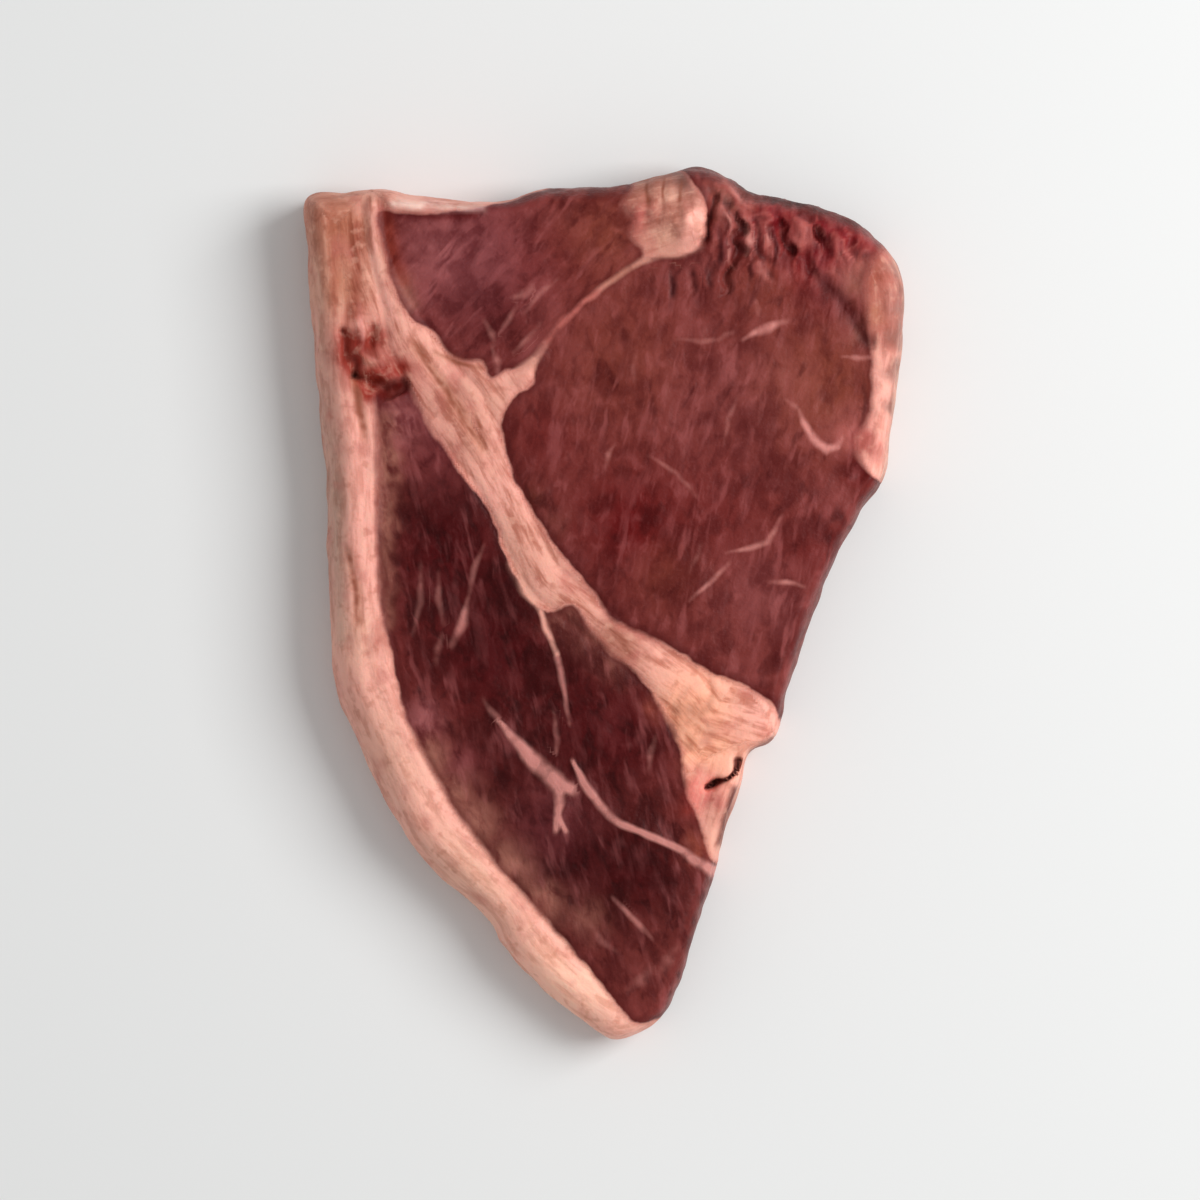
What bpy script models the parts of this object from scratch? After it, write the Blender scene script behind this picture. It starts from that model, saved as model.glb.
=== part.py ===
"""Raw sirloin steak: one boneless slice of beef that lies on its cut face.

The slice is one solid. Its outline is a smooth closed curve, its underside is flat, and its
upper face carries the relief of the real cut: the rind of fat along the left side, raised seams
of fat between the muscles, the torn crags at the upper right and the deep gaps beside the fat.
The frame is the middle of the underside, with +Y from the narrow tip to the broad end, +X from
the rind to the lean side and +Z up. Lengths in the lists are millimetres.
"""

import math

import bmesh
import bpy
import numpy as np
from mathutils import Matrix

MM = 0.001

# Thickness of the slice
THICK_BROAD = 20.0
THICK_TIP = 15.5
TAPER_FROM_Y = 0.0
TAPER_TO_Y = -95.0
TAPER_POWER = 1.5
EYE_CENTRE = (18.0, 35.0)
EYE_REACH = 36.0
EYE_RISE = 1.3

# Section of the side: where it is widest, and how far it draws in below that
WIDEST_SHARE = 0.42
UNDERCUT = 2.6
UNDERCUT_SWAY = 0.7
SHOULDER_RINGS = 3
SIDE_RINGS = 4
GRID_INSET = 1.3

# Fineness of the mesh
GRID_CELL = 1.15
CURVE_STEP = 1.0
FACE_SHARE = 0.26

# Gentle unevenness of the whole cut face
WAVE_COUNT = 9
WAVE_RISE = 0.25
WAVE_LENGTHS = (14.0, 34.0)
WAVE_SEED = 7

# Furrow on both sides of a seam: its place as a share of the seam's half width, and its width
FURROW_PLACE = 1.3
FURROW_WIDTH = 0.9

# Sway that makes gaps and strands look torn, and the unevenness of their depth
TORN_LENGTHS = (3.6, 9.5)
TORN_SEEDS = (21, 22)
TORN_SWAY = 0.6
DEPTH_SEED = 23
DEPTH_SWAY = 0.3

# Outline seen from above, clockwise: x, y, and the width of the rounded shoulder there
BROAD_END = [
    (-68.5, 92.5, 6.0), (-59.0, 94.5, 5.0), (-50.0, 95.0, 4.0), (-43.0, 93.3, 3.2),
    (-24.0, 92.2, 3.2), (-14.0, 95.0, 4.5), (3.5, 96.0, 5.0), (12.5, 98.5, 5.0),
    (20.5, 100.0, 5.0), (28.5, 97.5, 6.0), (34.0, 94.0, 7.0), (43.0, 92.5, 7.0),
    (55.5, 88.5, 7.0), (63.5, 82.5, 6.0), (68.0, 74.5, 5.0),
]
LEAN_SIDE = [
    (68.5, 62.0, 4.5), (66.5, 46.0, 4.5), (63.8, 29.0, 4.0), (58.5, 20.5, 4.0),
    (52.0, 8.0, 4.0), (46.5, -5.5, 4.0), (42.0, -20.0, 4.0), (40.0, -28.2, 3.5),
    (37.6, -32.2, 2.8), (33.0, -34.8, 2.8), (31.0, -41.5, 3.3), (27.5, -53.0, 4.0),
    (24.5, -64.0, 4.5), (17.5, -86.5, 4.5), (12.5, -95.5, 4.5),
]
TIP_AND_RIND = [
    (2.5, -100.0, 5.0), (-5.5, -96.0, 6.0), (-16.5, -87.0, 7.0), (-23.8, -78.5, 7.0),
    (-27.5, -72.0, 7.0), (-43.5, -57.0, 8.0), (-51.5, -43.5, 8.0), (-59.0, -27.0, 8.0),
    (-62.5, -16.5, 8.0), (-63.7, 5.0, 8.0), (-64.0, 25.0, 8.0), (-65.8, 45.0, 8.0),
    (-67.3, 62.0, 7.0), (-68.6, 80.0, 6.0),
]
OUTLINE = BROAD_END + LEAN_SIDE + TIP_AND_RIND

# Seams of fat: stations x, y and half the seam's width
MAIN_SEAM = [
    (-53.0, 90.5, 1.8), (-52.2, 82.5, 1.8), (-50.0, 74.5, 2.0), (-47.4, 68.0, 2.5),
    (-44.4, 60.0, 4.0), (-40.0, 52.0, 4.5), (-34.2, 44.0, 5.5), (-29.0, 36.0, 4.5),
    (-24.4, 27.0, 3.4), (-17.8, 12.0, 3.2), (-13.8, 5.0, 3.2), (-7.0, -0.3, 3.0),
    (4.4, -9.4, 3.0), (11.3, -14.7, 3.4), (18.0, -19.7, 4.5),
]
SEAM_END = [(24.0, -26.0, 7.0), (31.0, -27.0, 5.5)]
SEAM_FORK = [(-29.0, 49.7, 3.6), (-22.8, 50.8, 2.4), (-18.5, 51.5, 1.8)]
EYE_SEAM = [
    (-18.5, 51.5, 1.8), (-13.5, 58.0, 1.3), (-6.0, 67.0, 1.3), (3.0, 74.5, 1.4),
    (11.0, 77.7, 1.6), (17.0, 79.5, 2.0),
]
LOWER_SEAM = [
    (-7.6, -36.0, 0.9), (-3.1, -43.5, 1.5), (3.3, -50.1, 1.5), (13.5, -54.4, 1.5),
    (25.0, -61.0, 1.8),
]
LOWER_WEDGE = [(-24.0, -27.0, 0.9), (-16.0, -36.7, 2.2), (-9.4, -41.6, 2.5), (-10.8, -50.0, 1.4)]

# Each seam with its rise and the depth of the furrow on both sides of it
SEAMS = [
    (MAIN_SEAM, 0.7, 0.45), (SEAM_END, 1.0, 0.35), (SEAM_FORK, 0.5, 0.15), (EYE_SEAM, 0.4, 0.0),
    (LOWER_SEAM, 0.4, 0.0), (LOWER_WEDGE, 0.4, 0.0),
]

# Line where the rind meets the lean, and the folds in the rind and in the main seam
RIND_LINE = [
    (-52.0, 43.0, 1.4), (-49.8, 30.0, 1.2), (-51.0, 6.0, 1.2), (-47.0, -19.5, 1.2),
    (-42.0, -33.0, 1.2), (-34.0, -47.5, 1.2), (-23.5, -61.0, 1.2), (3.0, -91.5, 1.2),
]
RIND_CREASE = [(-59.0, 12.0, 1.0), (-56.5, 4.0, 1.2), (-56.0, -4.0, 1.0)]
RIND_FOLD = [(-57.2, 50.5, 1.0), (-56.0, 44.0, 1.1), (-54.6, 38.0, 0.9)]
SEAM_SPLIT = [(-43.0, 58.5, 0.9), (-36.3, 49.0, 1.1), (-31.8, 41.5, 1.1), (-28.0, 35.5, 0.9)]

# Gaps, tears and crevices: stations x, y, half width
POCKET = [(-59.8, 62.2, 1.0), (-58.8, 58.8, 1.3), (-58.2, 55.6, 1.4), (-57.0, 52.6, 1.1)]
POCKET_HOLE = [(-52.6, 63.0, 1.0), (-53.0, 59.6, 1.2)]
POCKET_MOUTH = [
    (-56.3, 52.4, 1.0), (-53.3, 50.4, 1.5), (-50.0, 48.6, 1.8), (-47.2, 48.8, 1.6),
    (-45.2, 50.4, 1.0),
]
POCKET_TAB = [(-56.2, 67.0, 1.3), (-55.8, 62.5, 1.6), (-55.4, 57.5, 1.4)]
POCKET_RIDGES = [
    [(-56.4, 56.5, 0.9), (-52.5, 55.0, 1.0)], [(-53.5, 51.8, 0.8), (-50.8, 52.4, 0.9)],
    [(-49.5, 46.5, 0.8), (-46.5, 47.0, 0.8)],
]
END_SLIT = [
    (22.8, -41.5, 0.8), (24.8, -41.4, 1.0), (27.6, -40.3, 1.0), (29.3, -38.4, 0.9),
    (30.3, -35.4, 0.9),
]
LUMP_FOLD = [(24.6, 93.0, 1.0), (24.1, 88.7, 1.3), (23.4, 85.3, 1.2), (22.4, 83.2, 0.9)]
LUMP_GROOVES = [
    [(8.5, 99.0, 0.9), (9.4, 92.0, 1.0), (8.8, 86.5, 0.8)],
    [(12.4, 99.0, 0.8), (13.1, 93.0, 0.9), (12.4, 88.0, 0.7)],
    [(16.4, 98.0, 0.9), (16.2, 91.0, 1.0), (16.9, 87.0, 0.7)],
]
DEEP_TEARS = [
    [(29.2, 88.2, 0.9), (30.5, 85.3, 1.0), (29.8, 81.9, 1.0), (30.5, 80.0, 1.1), (29.4, 77.8, 1.1),
     (27.6, 74.6, 0.9), (27.3, 71.2, 0.8)],
    [(39.3, 87.2, 0.9), (40.9, 82.9, 1.1), (41.4, 79.0, 0.9)],
    [(29.8, 94.8, 1.0), (32.8, 91.9, 1.0)],
    [(48.6, 84.5, 1.0), (49.4, 80.5, 1.1)],
    [(55.5, 83.6, 1.0), (56.2, 80.0, 1.0)],
]
SHALLOW_TEARS = [
    [(34.6, 88.5, 0.9), (35.2, 82.5, 1.0)], [(37.4, 81.5, 0.9), (36.3, 77.2, 1.0)],
    [(15.3, 75.3, 0.9), (15.2, 69.5, 0.8)], [(19.4, 76.0, 0.8), (20.2, 71.0, 0.8)],
    [(45.4, 79.0, 0.9), (46.5, 75.0, 0.9)], [(24.3, 76.0, 0.8), (23.8, 72.5, 0.8)],
]
CREASE_ARC = [(47.0, 75.5, 1.3), (51.5, 71.5, 1.9), (56.0, 65.5, 1.9), (60.0, 59.0, 1.4)]
SIDE_DENT = [(62.5, 33.0, 1.6), (57.5, 29.0, 1.4)]

# Shallow creases with their depth, and torn gaps with theirs
CREVICES = [
    (RIND_LINE, 0.4), (RIND_CREASE, 0.4), (RIND_FOLD, 0.3), (SEAM_SPLIT, 0.5),
    (CREASE_ARC, 0.7), (SIDE_DENT, 0.8),
]
CREVICES += [(tear, 0.4) for tear in SHALLOW_TEARS]
CREVICES += [(groove, 0.45) for groove in LUMP_GROOVES]
TEARS = [
    (POCKET, 1.7), (POCKET_HOLE, 1.3), (POCKET_MOUTH, 2.1), (END_SLIT, 4.4), (LUMP_FOLD, 2.3),
]
TEARS += [(tear, 1.6) for tear in DEEP_TEARS]

# Lumps, torn strands and lips that stand up: stations x, y, half width
FAT_LUMP = [(9.0, 90.0, 3.0), (13.5, 90.5, 4.6), (18.0, 88.5, 4.4), (19.0, 84.5, 3.4)]
TORN_STRANDS = [
    [(27.2, 96.0, 1.0), (29.6, 92.9, 1.1), (32.4, 90.3, 0.9)],
    [(26.8, 90.0, 0.8), (28.2, 87.0, 0.9), (28.7, 84.4, 0.8)],
    [(31.9, 87.0, 0.8), (32.0, 84.2, 1.0), (32.9, 81.9, 1.1), (31.9, 79.4, 0.8)],
    [(35.5, 88.5, 0.8), (36.5, 84.9, 1.0), (37.4, 79.8, 0.9)],
    [(44.2, 86.3, 1.3), (44.8, 81.6, 1.6)],
    [(52.0, 84.5, 1.0), (52.6, 78.8, 1.2)],
    [(34.7, 77.2, 0.9), (35.8, 74.2, 0.9)],
]
LIPS = [[(-46.0, 91.0, 1.6), (-27.0, 89.8, 1.3)], [(62.0, 60.0, 1.4), (62.2, 44.0, 1.4)]]
RISES = [(FAT_LUMP, 1.4), (POCKET_TAB, 0.7)]
RISES += [(strand, 0.5) for strand in TORN_STRANDS]
RISES += [(ridge, 0.8) for ridge in POCKET_RIDGES]
RISES += [(lip, 0.5) for lip in LIPS]

# Finish of the plain model: the mean colour of moist raw beef
MEAT_COLOUR = (0.20, 0.055, 0.050, 1.0)
MEAT_ROUGHNESS = 0.42


def smooth_loop(stations, step):
    """Closed smooth curve through all stations, with a point about every step."""
    here = np.array(stations)
    before = np.roll(here, 1, axis=0)
    after = np.roll(here, -1, axis=0)
    beyond = np.roll(here, -2, axis=0)
    pieces = []
    for a, b, c, d in zip(before, here, after, beyond):
        count = max(2, math.ceil(np.linalg.norm(c[:2] - b[:2]) / step))
        t = (np.arange(count) / count)[:, None]
        cubic = 3.0 * b - a - 3.0 * c + d
        square = 2.0 * a - 5.0 * b + 4.0 * c - d
        pieces.append(0.5 * (2.0 * b + (c - a) * t + square * t ** 2 + cubic * t ** 3))
    return np.vstack(pieces)


def nearest_on_loop(points, loop):
    """Distance to the closed loop, positive inside, and the place on the loop as a running index."""
    best = np.full(len(points), np.inf)
    place = np.zeros(len(points))
    crossings = np.zeros(len(points), dtype=int)
    for index, start in enumerate(loop):
        end = loop[(index + 1) % len(loop)]
        along = end[:2] - start[:2]
        share = np.clip((points - start[:2]) @ along / (along @ along), 0.0, 1.0)
        gap = np.linalg.norm(points - start[:2] - share[:, None] * along, axis=1)
        closer = gap < best
        best[closer] = gap[closer]
        place[closer] = index + share[closer]
        if along[1] != 0.0:
            level = (start[1] > points[:, 1]) != (end[1] > points[:, 1])
            reach = start[0] + (points[:, 1] - start[1]) * along[0] / along[1]
            crossings += level & (points[:, 0] < reach)
    inside = crossings % 2 == 1
    return np.where(inside, best, -best), place


def read_loop(loop, place):
    """Values of the loop at running indices, blended between its points."""
    low = np.floor(place).astype(int) % len(loop)
    high = (low + 1) % len(loop)
    share = (place - np.floor(place))[:, None]
    return loop[low] * (1.0 - share) + loop[high] * share


def outward(loop, place, reach=3.0):
    """Outward direction of a clockwise loop, evened out over a short stretch."""
    along = read_loop(loop, place + reach)[:, :2] - read_loop(loop, place - reach)[:, :2]
    along /= np.linalg.norm(along, axis=1)[:, None]
    return np.column_stack((-along[:, 1], along[:, 0]))


def line_gap(points, line):
    """Distance to an open line of stations, and the half width at the nearest place."""
    best = np.full(len(points), np.inf)
    width = np.zeros(len(points))
    for start, end in zip(line[:-1], line[1:]):
        origin = np.array(start[:2])
        along = np.array(end[:2]) - origin
        share = np.clip((points - origin) @ along / (along @ along), 0.0, 1.0)
        gap = np.linalg.norm(points - origin - share[:, None] * along, axis=1)
        closer = gap < best
        best[closer] = gap[closer]
        width[closer] = start[2] + (end[2] - start[2]) * share[closer]
    return best, width


def line_ratio(points, line):
    """Distance to an open line of stations, as a multiple of the half width given there."""
    gap, width = line_gap(points, line)
    return gap / width


def thickness(points):
    """Thickness of the slice without its relief: even at the broad end, thinner at the tip."""
    share = np.clip((TAPER_FROM_Y - points[:, 1]) / (TAPER_FROM_Y - TAPER_TO_Y), 0.0, 1.0)
    taper = THICK_BROAD + (THICK_TIP - THICK_BROAD) * share ** TAPER_POWER
    distance = np.linalg.norm(points - np.array(EYE_CENTRE), axis=1)
    return taper + EYE_RISE * np.exp(-(distance / EYE_REACH) ** 2)


def unevenness(points, seed=WAVE_SEED, lengths=WAVE_LENGTHS):
    """A few long waves in fixed but irregular directions, added up to a height of about one."""
    draw = np.random.default_rng(seed)
    total = np.zeros(len(points))
    for _ in range(WAVE_COUNT):
        angle = draw.uniform(0.0, math.tau)
        length = draw.uniform(*lengths)
        phase = draw.uniform(0.0, math.tau)
        heading = np.array((math.cos(angle), math.sin(angle)))
        total += np.sin(math.tau * (points @ heading) / length + phase)
    return total / math.sqrt(WAVE_COUNT)


def ragged(points):
    """The same points swayed a little, so that a line measured from them looks torn."""
    sway = [unevenness(points, seed, TORN_LENGTHS) for seed in TORN_SEEDS]
    return points + TORN_SWAY * np.column_stack(sway)


def relief(points):
    """Height that seams, crevices and torn strands add to the cut face."""
    total = WAVE_RISE * unevenness(points)
    for line, rise, furrow in SEAMS:
        gap, width = line_gap(points, line)
        total += rise * np.exp(-(gap / width) ** 2)
        total -= furrow * np.exp(-((gap - FURROW_PLACE * width) / FURROW_WIDTH) ** 2)
    for line, depth in CREVICES:
        total -= depth * np.exp(-line_ratio(points, line) ** 2)
    swayed = ragged(points)
    depth_share = 1.0 + DEPTH_SWAY * unevenness(points, DEPTH_SEED, TORN_LENGTHS)
    for line, depth in TEARS:
        total -= depth * depth_share * np.exp(-line_ratio(swayed, line) ** 2)
    for line, rise in RISES:
        total += rise * np.exp(-line_ratio(swayed, line) ** 2)
    return total


def face_height(points, inset, shoulder):
    """Height of the upper surface at points that lie a given inset from the outline."""
    low = WIDEST_SHARE * thickness(points)
    full = thickness(points) + relief(points)
    run = np.clip(1.0 - inset / shoulder, 0.0, 1.0)
    return low + (full - low) * np.sqrt(1.0 - run ** 2)


def move(verts, points, heights):
    """Put each vertex at its point and height."""
    for vert, point, height in zip(verts, points, heights):
        vert.co = (point[0] * MM, point[1] * MM, height * MM)


def plan_points(verts):
    """Places of the vertices in plan, in millimetres."""
    return np.array([vert.co[:2] for vert in verts]) / MM


def grid_inside(mesh, loop):
    """Grid of square cells, kept where it lies inside the outline."""
    half = np.abs(loop[:, :2]).max(axis=0) + GRID_CELL
    cells = np.ceil(2.0 * half / GRID_CELL).astype(int)
    size = Matrix.Diagonal((half[0] * MM, half[1] * MM, 1.0, 1.0))
    bmesh.ops.create_grid(mesh, x_segments=cells[0], y_segments=cells[1], size=1.0, matrix=size)
    inset, _ = nearest_on_loop(plan_points(mesh.verts), loop)
    limit = GRID_INSET + 0.5 * GRID_CELL
    outside = [vert for vert, gap in zip(mesh.verts, inset) if gap < limit]
    while outside:
        bmesh.ops.delete(mesh, geom=outside, context="VERTS")
        outside = [vert for vert in mesh.verts if not is_sound(vert)]


def is_sound(vert):
    """True for a vertex inside the grid, or one that its border passes exactly once."""
    borders = sum(edge.is_boundary for edge in vert.link_edges)
    return bool(vert.link_faces) and borders in (0, 2)


def border_in_order(mesh):
    """Vertices of the grid's border, one after the other."""
    first = next(edge for edge in mesh.edges if edge.is_boundary)
    ring = [first.verts[0], first.verts[1]]
    while True:
        steps = [edge for edge in ring[-1].link_edges if edge.is_boundary]
        ahead = [edge.other_vert(ring[-1]) for edge in steps]
        following = next(vert for vert in ahead if vert is not ring[-2])
        if following is ring[0]:
            return ring
        ring.append(following)


def even_places(place, count, rounds=40):
    """Places along the loop, evened out while they keep their order around it."""
    turned = np.unwrap(place * math.tau / count) * count / math.tau
    lap = count if turned[-1] > turned[0] else -count
    for _ in range(rounds):
        before = np.concatenate(([turned[-1] - lap], turned[:-1]))
        after = np.concatenate((turned[1:], [turned[0] + lap]))
        turned = 0.5 * turned + 0.25 * (before + after)
    return turned % count


def next_ring(mesh, ring):
    """Extrude the open border by one ring, whose vertices follow the order of the last."""
    members = set(ring)
    edges = [edge for edge in mesh.edges if edge.is_boundary]
    made = bmesh.ops.extrude_edge_only(mesh, edges=edges)
    partner = {}
    for vert in made["geom"]:
        if isinstance(vert, bmesh.types.BMVert):
            root = next(e.other_vert(vert) for e in vert.link_edges if e.other_vert(vert) in members)
            partner[root] = vert
    return [partner[vert] for vert in ring]


def build_shell(loop):
    """Cut face and side of the slice, open at the underside."""
    mesh = bmesh.new()
    grid_inside(mesh, loop)
    ring = border_in_order(mesh)
    _, place = nearest_on_loop(plan_points(ring), loop)
    place = even_places(place, len(loop))
    edge = read_loop(loop, place)
    away = outward(loop, place)
    face = list(mesh.verts)
    inset, nearest = nearest_on_loop(plan_points(face), loop)
    heights = face_height(plan_points(face), inset, read_loop(loop, nearest)[:, 2])
    move(face, plan_points(face), heights)

    for step in range(SHOULDER_RINGS + 1):
        inset = np.full(len(ring), GRID_INSET * (1.0 - step / SHOULDER_RINGS) ** 2)
        points = edge[:, :2] - away * inset[:, None]
        ring = next_ring(mesh, ring)
        move(ring, points, face_height(points, inset, edge[:, 2]))

    widest = WIDEST_SHARE * thickness(edge[:, :2])
    undercut = UNDERCUT + UNDERCUT_SWAY * unevenness(edge[:, :2])
    for step in range(1, SIDE_RINGS + 1):
        drop = step / SIDE_RINGS
        points = edge[:, :2] - away * (undercut * drop ** 2)[:, None]
        ring = next_ring(mesh, ring)
        move(ring, points, widest * (1.0 - drop))
    bmesh.ops.recalc_face_normals(mesh, faces=mesh.faces)
    return mesh


def thinned(shell):
    """The same shell with fewer faces where it is smooth."""
    mesh = bpy.data.meshes.new("shell")
    shell.to_mesh(mesh)
    shell.free()
    carrier = bpy.data.objects.new("shell", mesh)
    bpy.context.scene.collection.objects.link(carrier)
    decimate = carrier.modifiers.new("thin_out", "DECIMATE")
    decimate.ratio = FACE_SHARE
    bpy.context.view_layer.update()
    view = bpy.context.evaluated_depsgraph_get()
    result = bmesh.new()
    result.from_mesh(carrier.evaluated_get(view).to_mesh())
    bpy.data.objects.remove(carrier)
    bpy.data.meshes.remove(mesh)
    return result


def close_underside(mesh):
    """Lay the open border on the ground and fill it with one flat face."""
    border = [edge for edge in mesh.edges if edge.is_boundary]
    for edge in border:
        for vert in edge.verts:
            vert.co.z = 0.0
    bmesh.ops.edgeloop_fill(mesh, edges=border)
    bmesh.ops.triangulate(mesh, faces=mesh.faces, quad_method="BEAUTY", ngon_method="BEAUTY")
    bmesh.ops.recalc_face_normals(mesh, faces=mesh.faces)


def centre_in_plan(mesh):
    """Move the slice so that the middle of its box is the origin."""
    plan = plan_points(mesh.verts) * MM
    middle = 0.5 * (plan.min(axis=0) + plan.max(axis=0))
    bmesh.ops.translate(mesh, verts=mesh.verts, vec=(-middle[0], -middle[1], 0.0))


def meat_material():
    """Moist raw beef in one mean colour."""
    material = bpy.data.materials.new("raw_beef")
    material.use_nodes = True
    shader = material.node_tree.nodes["Principled BSDF"]
    shader.inputs["Base Color"].default_value = MEAT_COLOUR
    shader.inputs["Roughness"].default_value = MEAT_ROUGHNESS
    shader.inputs["Metallic"].default_value = 0.0
    return material


def make_steak():
    """The finished slice as one named object."""
    solid = thinned(build_shell(smooth_loop(OUTLINE, CURVE_STEP)))
    close_underside(solid)
    centre_in_plan(solid)
    mesh = bpy.data.meshes.new("steak")
    solid.to_mesh(mesh)
    solid.free()
    mesh.shade_smooth()
    mesh.materials.append(meat_material())
    steak = bpy.data.objects.new("steak", mesh)
    bpy.context.scene.collection.objects.link(steak)
    return steak


for old in list(bpy.data.objects):
    bpy.data.objects.remove(old)

slice_of_beef = make_steak()
print("steak:", len(slice_of_beef.data.polygons), "triangles")
print("size in mm:", [round(side / MM, 1) for side in slice_of_beef.dimensions])
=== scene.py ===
# %% [markdown]
# # A raw sirloin steak
# A steak is a slice of beef cut across the muscles. Its face shows three muscles, the seams of
# fat between them and the rind of fat along one side. It could be sculpted by hand, but a few
# measured lines give the same shape in code: the outline, the seams and the gaps. One mesh is
# shaped from them here, and one material finds its way over it by what the mesh remembers.

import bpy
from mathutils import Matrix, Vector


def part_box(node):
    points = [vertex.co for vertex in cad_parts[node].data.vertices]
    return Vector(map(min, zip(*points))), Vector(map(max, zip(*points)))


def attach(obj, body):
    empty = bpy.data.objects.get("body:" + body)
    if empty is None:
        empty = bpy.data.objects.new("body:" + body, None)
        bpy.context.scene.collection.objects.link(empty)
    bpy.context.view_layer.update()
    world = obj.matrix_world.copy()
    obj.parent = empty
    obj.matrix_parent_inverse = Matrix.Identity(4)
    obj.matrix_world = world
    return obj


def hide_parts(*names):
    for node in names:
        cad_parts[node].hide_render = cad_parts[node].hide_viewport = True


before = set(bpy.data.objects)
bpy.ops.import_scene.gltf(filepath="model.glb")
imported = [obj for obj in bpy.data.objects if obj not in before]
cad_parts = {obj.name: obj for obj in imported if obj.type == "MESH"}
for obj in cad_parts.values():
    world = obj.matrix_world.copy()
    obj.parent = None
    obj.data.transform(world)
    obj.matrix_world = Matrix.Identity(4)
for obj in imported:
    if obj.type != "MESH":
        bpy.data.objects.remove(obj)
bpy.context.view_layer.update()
solid_low, solid_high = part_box("steak")
print("solid steak, highest corner in mm:", [round(side * 1000, 1) for side in solid_high])

# %% Names that the whole lesson uses
import math

import bmesh
import bpy
import numpy as np
from mathutils import Matrix, Vector, noise

MM = 0.001
THICK_BROAD = 20.0
THICK_TIP = 15.5
TAPER_FROM_Y = 0.0
TAPER_TO_Y = -95.0
TAPER_POWER = 1.5
EYE_CENTRE = (18.0, 35.0)
EYE_REACH = 36.0
EYE_RISE = 1.3

# %% [markdown]
# ## The outline
# Seen from above the slice is a rounded triangle: a broad end, a lean side with a notch, a narrow
# tip, and the long rind. It could be a Bezier curve. Stations joined by a Catmull-Rom curve are
# easier to read, because the curve passes through each of them. Each station also says how wide
# the rounded shoulder is there, since fat rounds over more than a clean cut through lean meat.
# All lengths in the lists are millimetres.

# %% Stations of the outline: x, y, width of the shoulder
BROAD_END = [
    (-68.5, 92.5, 6.0), (-59.0, 94.5, 5.0), (-50.0, 95.0, 4.0), (-43.0, 93.3, 3.2),
    (-24.0, 92.2, 3.2), (-14.0, 95.0, 4.5), (3.5, 96.0, 5.0), (12.5, 98.5, 5.0),
    (20.5, 100.0, 5.0), (28.5, 97.5, 6.0), (34.0, 94.0, 7.0), (43.0, 92.5, 7.0),
    (55.5, 88.5, 7.0), (63.5, 82.5, 6.0), (68.0, 74.5, 5.0),
]
LEAN_SIDE = [
    (68.5, 62.0, 4.5), (66.5, 46.0, 4.5), (63.8, 29.0, 4.0), (58.5, 20.5, 4.0),
    (52.0, 8.0, 4.0), (46.5, -5.5, 4.0), (42.0, -20.0, 4.0), (40.0, -28.2, 3.5),
    (37.6, -32.2, 2.8), (33.0, -34.8, 2.8), (31.0, -41.5, 3.3), (27.5, -53.0, 4.0),
    (24.5, -64.0, 4.5), (17.5, -86.5, 4.5), (12.5, -95.5, 4.5),
]
TIP_AND_RIND = [
    (2.5, -100.0, 5.0), (-5.5, -96.0, 6.0), (-16.5, -87.0, 7.0), (-23.8, -78.5, 7.0),
    (-27.5, -72.0, 7.0), (-43.5, -57.0, 8.0), (-51.5, -43.5, 8.0), (-59.0, -27.0, 8.0),
    (-62.5, -16.5, 8.0), (-63.7, 5.0, 8.0), (-64.0, 25.0, 8.0), (-65.8, 45.0, 8.0),
    (-67.3, 62.0, 7.0), (-68.6, 80.0, 6.0),
]


def smooth_loop(stations, step=1.0):
    """Closed smooth curve through all stations, with a point about every step."""
    here = np.array(stations, dtype=float)
    before = np.roll(here, 1, axis=0)
    after = np.roll(here, -1, axis=0)
    beyond = np.roll(here, -2, axis=0)
    pieces = []
    for a, b, c, d in zip(before, here, after, beyond):
        count = max(2, math.ceil(np.linalg.norm(c[:2] - b[:2]) / step))
        t = (np.arange(count) / count)[:, None]
        cubic = 3.0 * b - a - 3.0 * c + d
        square = 2.0 * a - 5.0 * b + 4.0 * c - d
        pieces.append(0.5 * (2.0 * b + (c - a) * t + square * t ** 2 + cubic * t ** 3))
    return np.vstack(pieces)


outline = smooth_loop(BROAD_END + LEAN_SIDE + TIP_AND_RIND)
print("outline points:", len(outline))

# %% [markdown]
# ## Measuring from the outline
# Nearly everything on the steak depends on how far a place is from some line: the shoulder from
# the outline, a furrow from its seam. Blender's BVH tree or a KD tree could answer that. For flat
# curves a loop over the segments with numpy does it as fast, and it also tells inside from outside.

# %% Distance to a closed curve, and values along it
def nearest_on_loop(points, loop):
    """Distance to the closed loop, positive inside, and the place on it as a running index."""
    best = np.full(len(points), np.inf)
    place = np.zeros(len(points))
    crossings = np.zeros(len(points), dtype=int)
    for index, start in enumerate(loop):
        end = loop[(index + 1) % len(loop)]
        along = end[:2] - start[:2]
        share = np.clip((points - start[:2]) @ along / (along @ along), 0.0, 1.0)
        apart = points - start[:2] - share[:, None] * along
        gap = np.hypot(apart[:, 0], apart[:, 1])
        closer = gap < best
        best[closer] = gap[closer]
        place[closer] = index + share[closer]
        if along[1] != 0.0:
            level = (start[1] > points[:, 1]) != (end[1] > points[:, 1])
            reach = start[0] + (points[:, 1] - start[1]) * along[0] / along[1]
            crossings += level & (points[:, 0] < reach)
    return np.where(crossings % 2 == 1, best, -best), place


def read_loop(loop, place):
    """Values of the loop at running indices, blended between its points."""
    low = np.floor(place).astype(int) % len(loop)
    share = (place - np.floor(place))[:, None]
    return loop[low] * (1.0 - share) + loop[(low + 1) % len(loop)] * share


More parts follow.
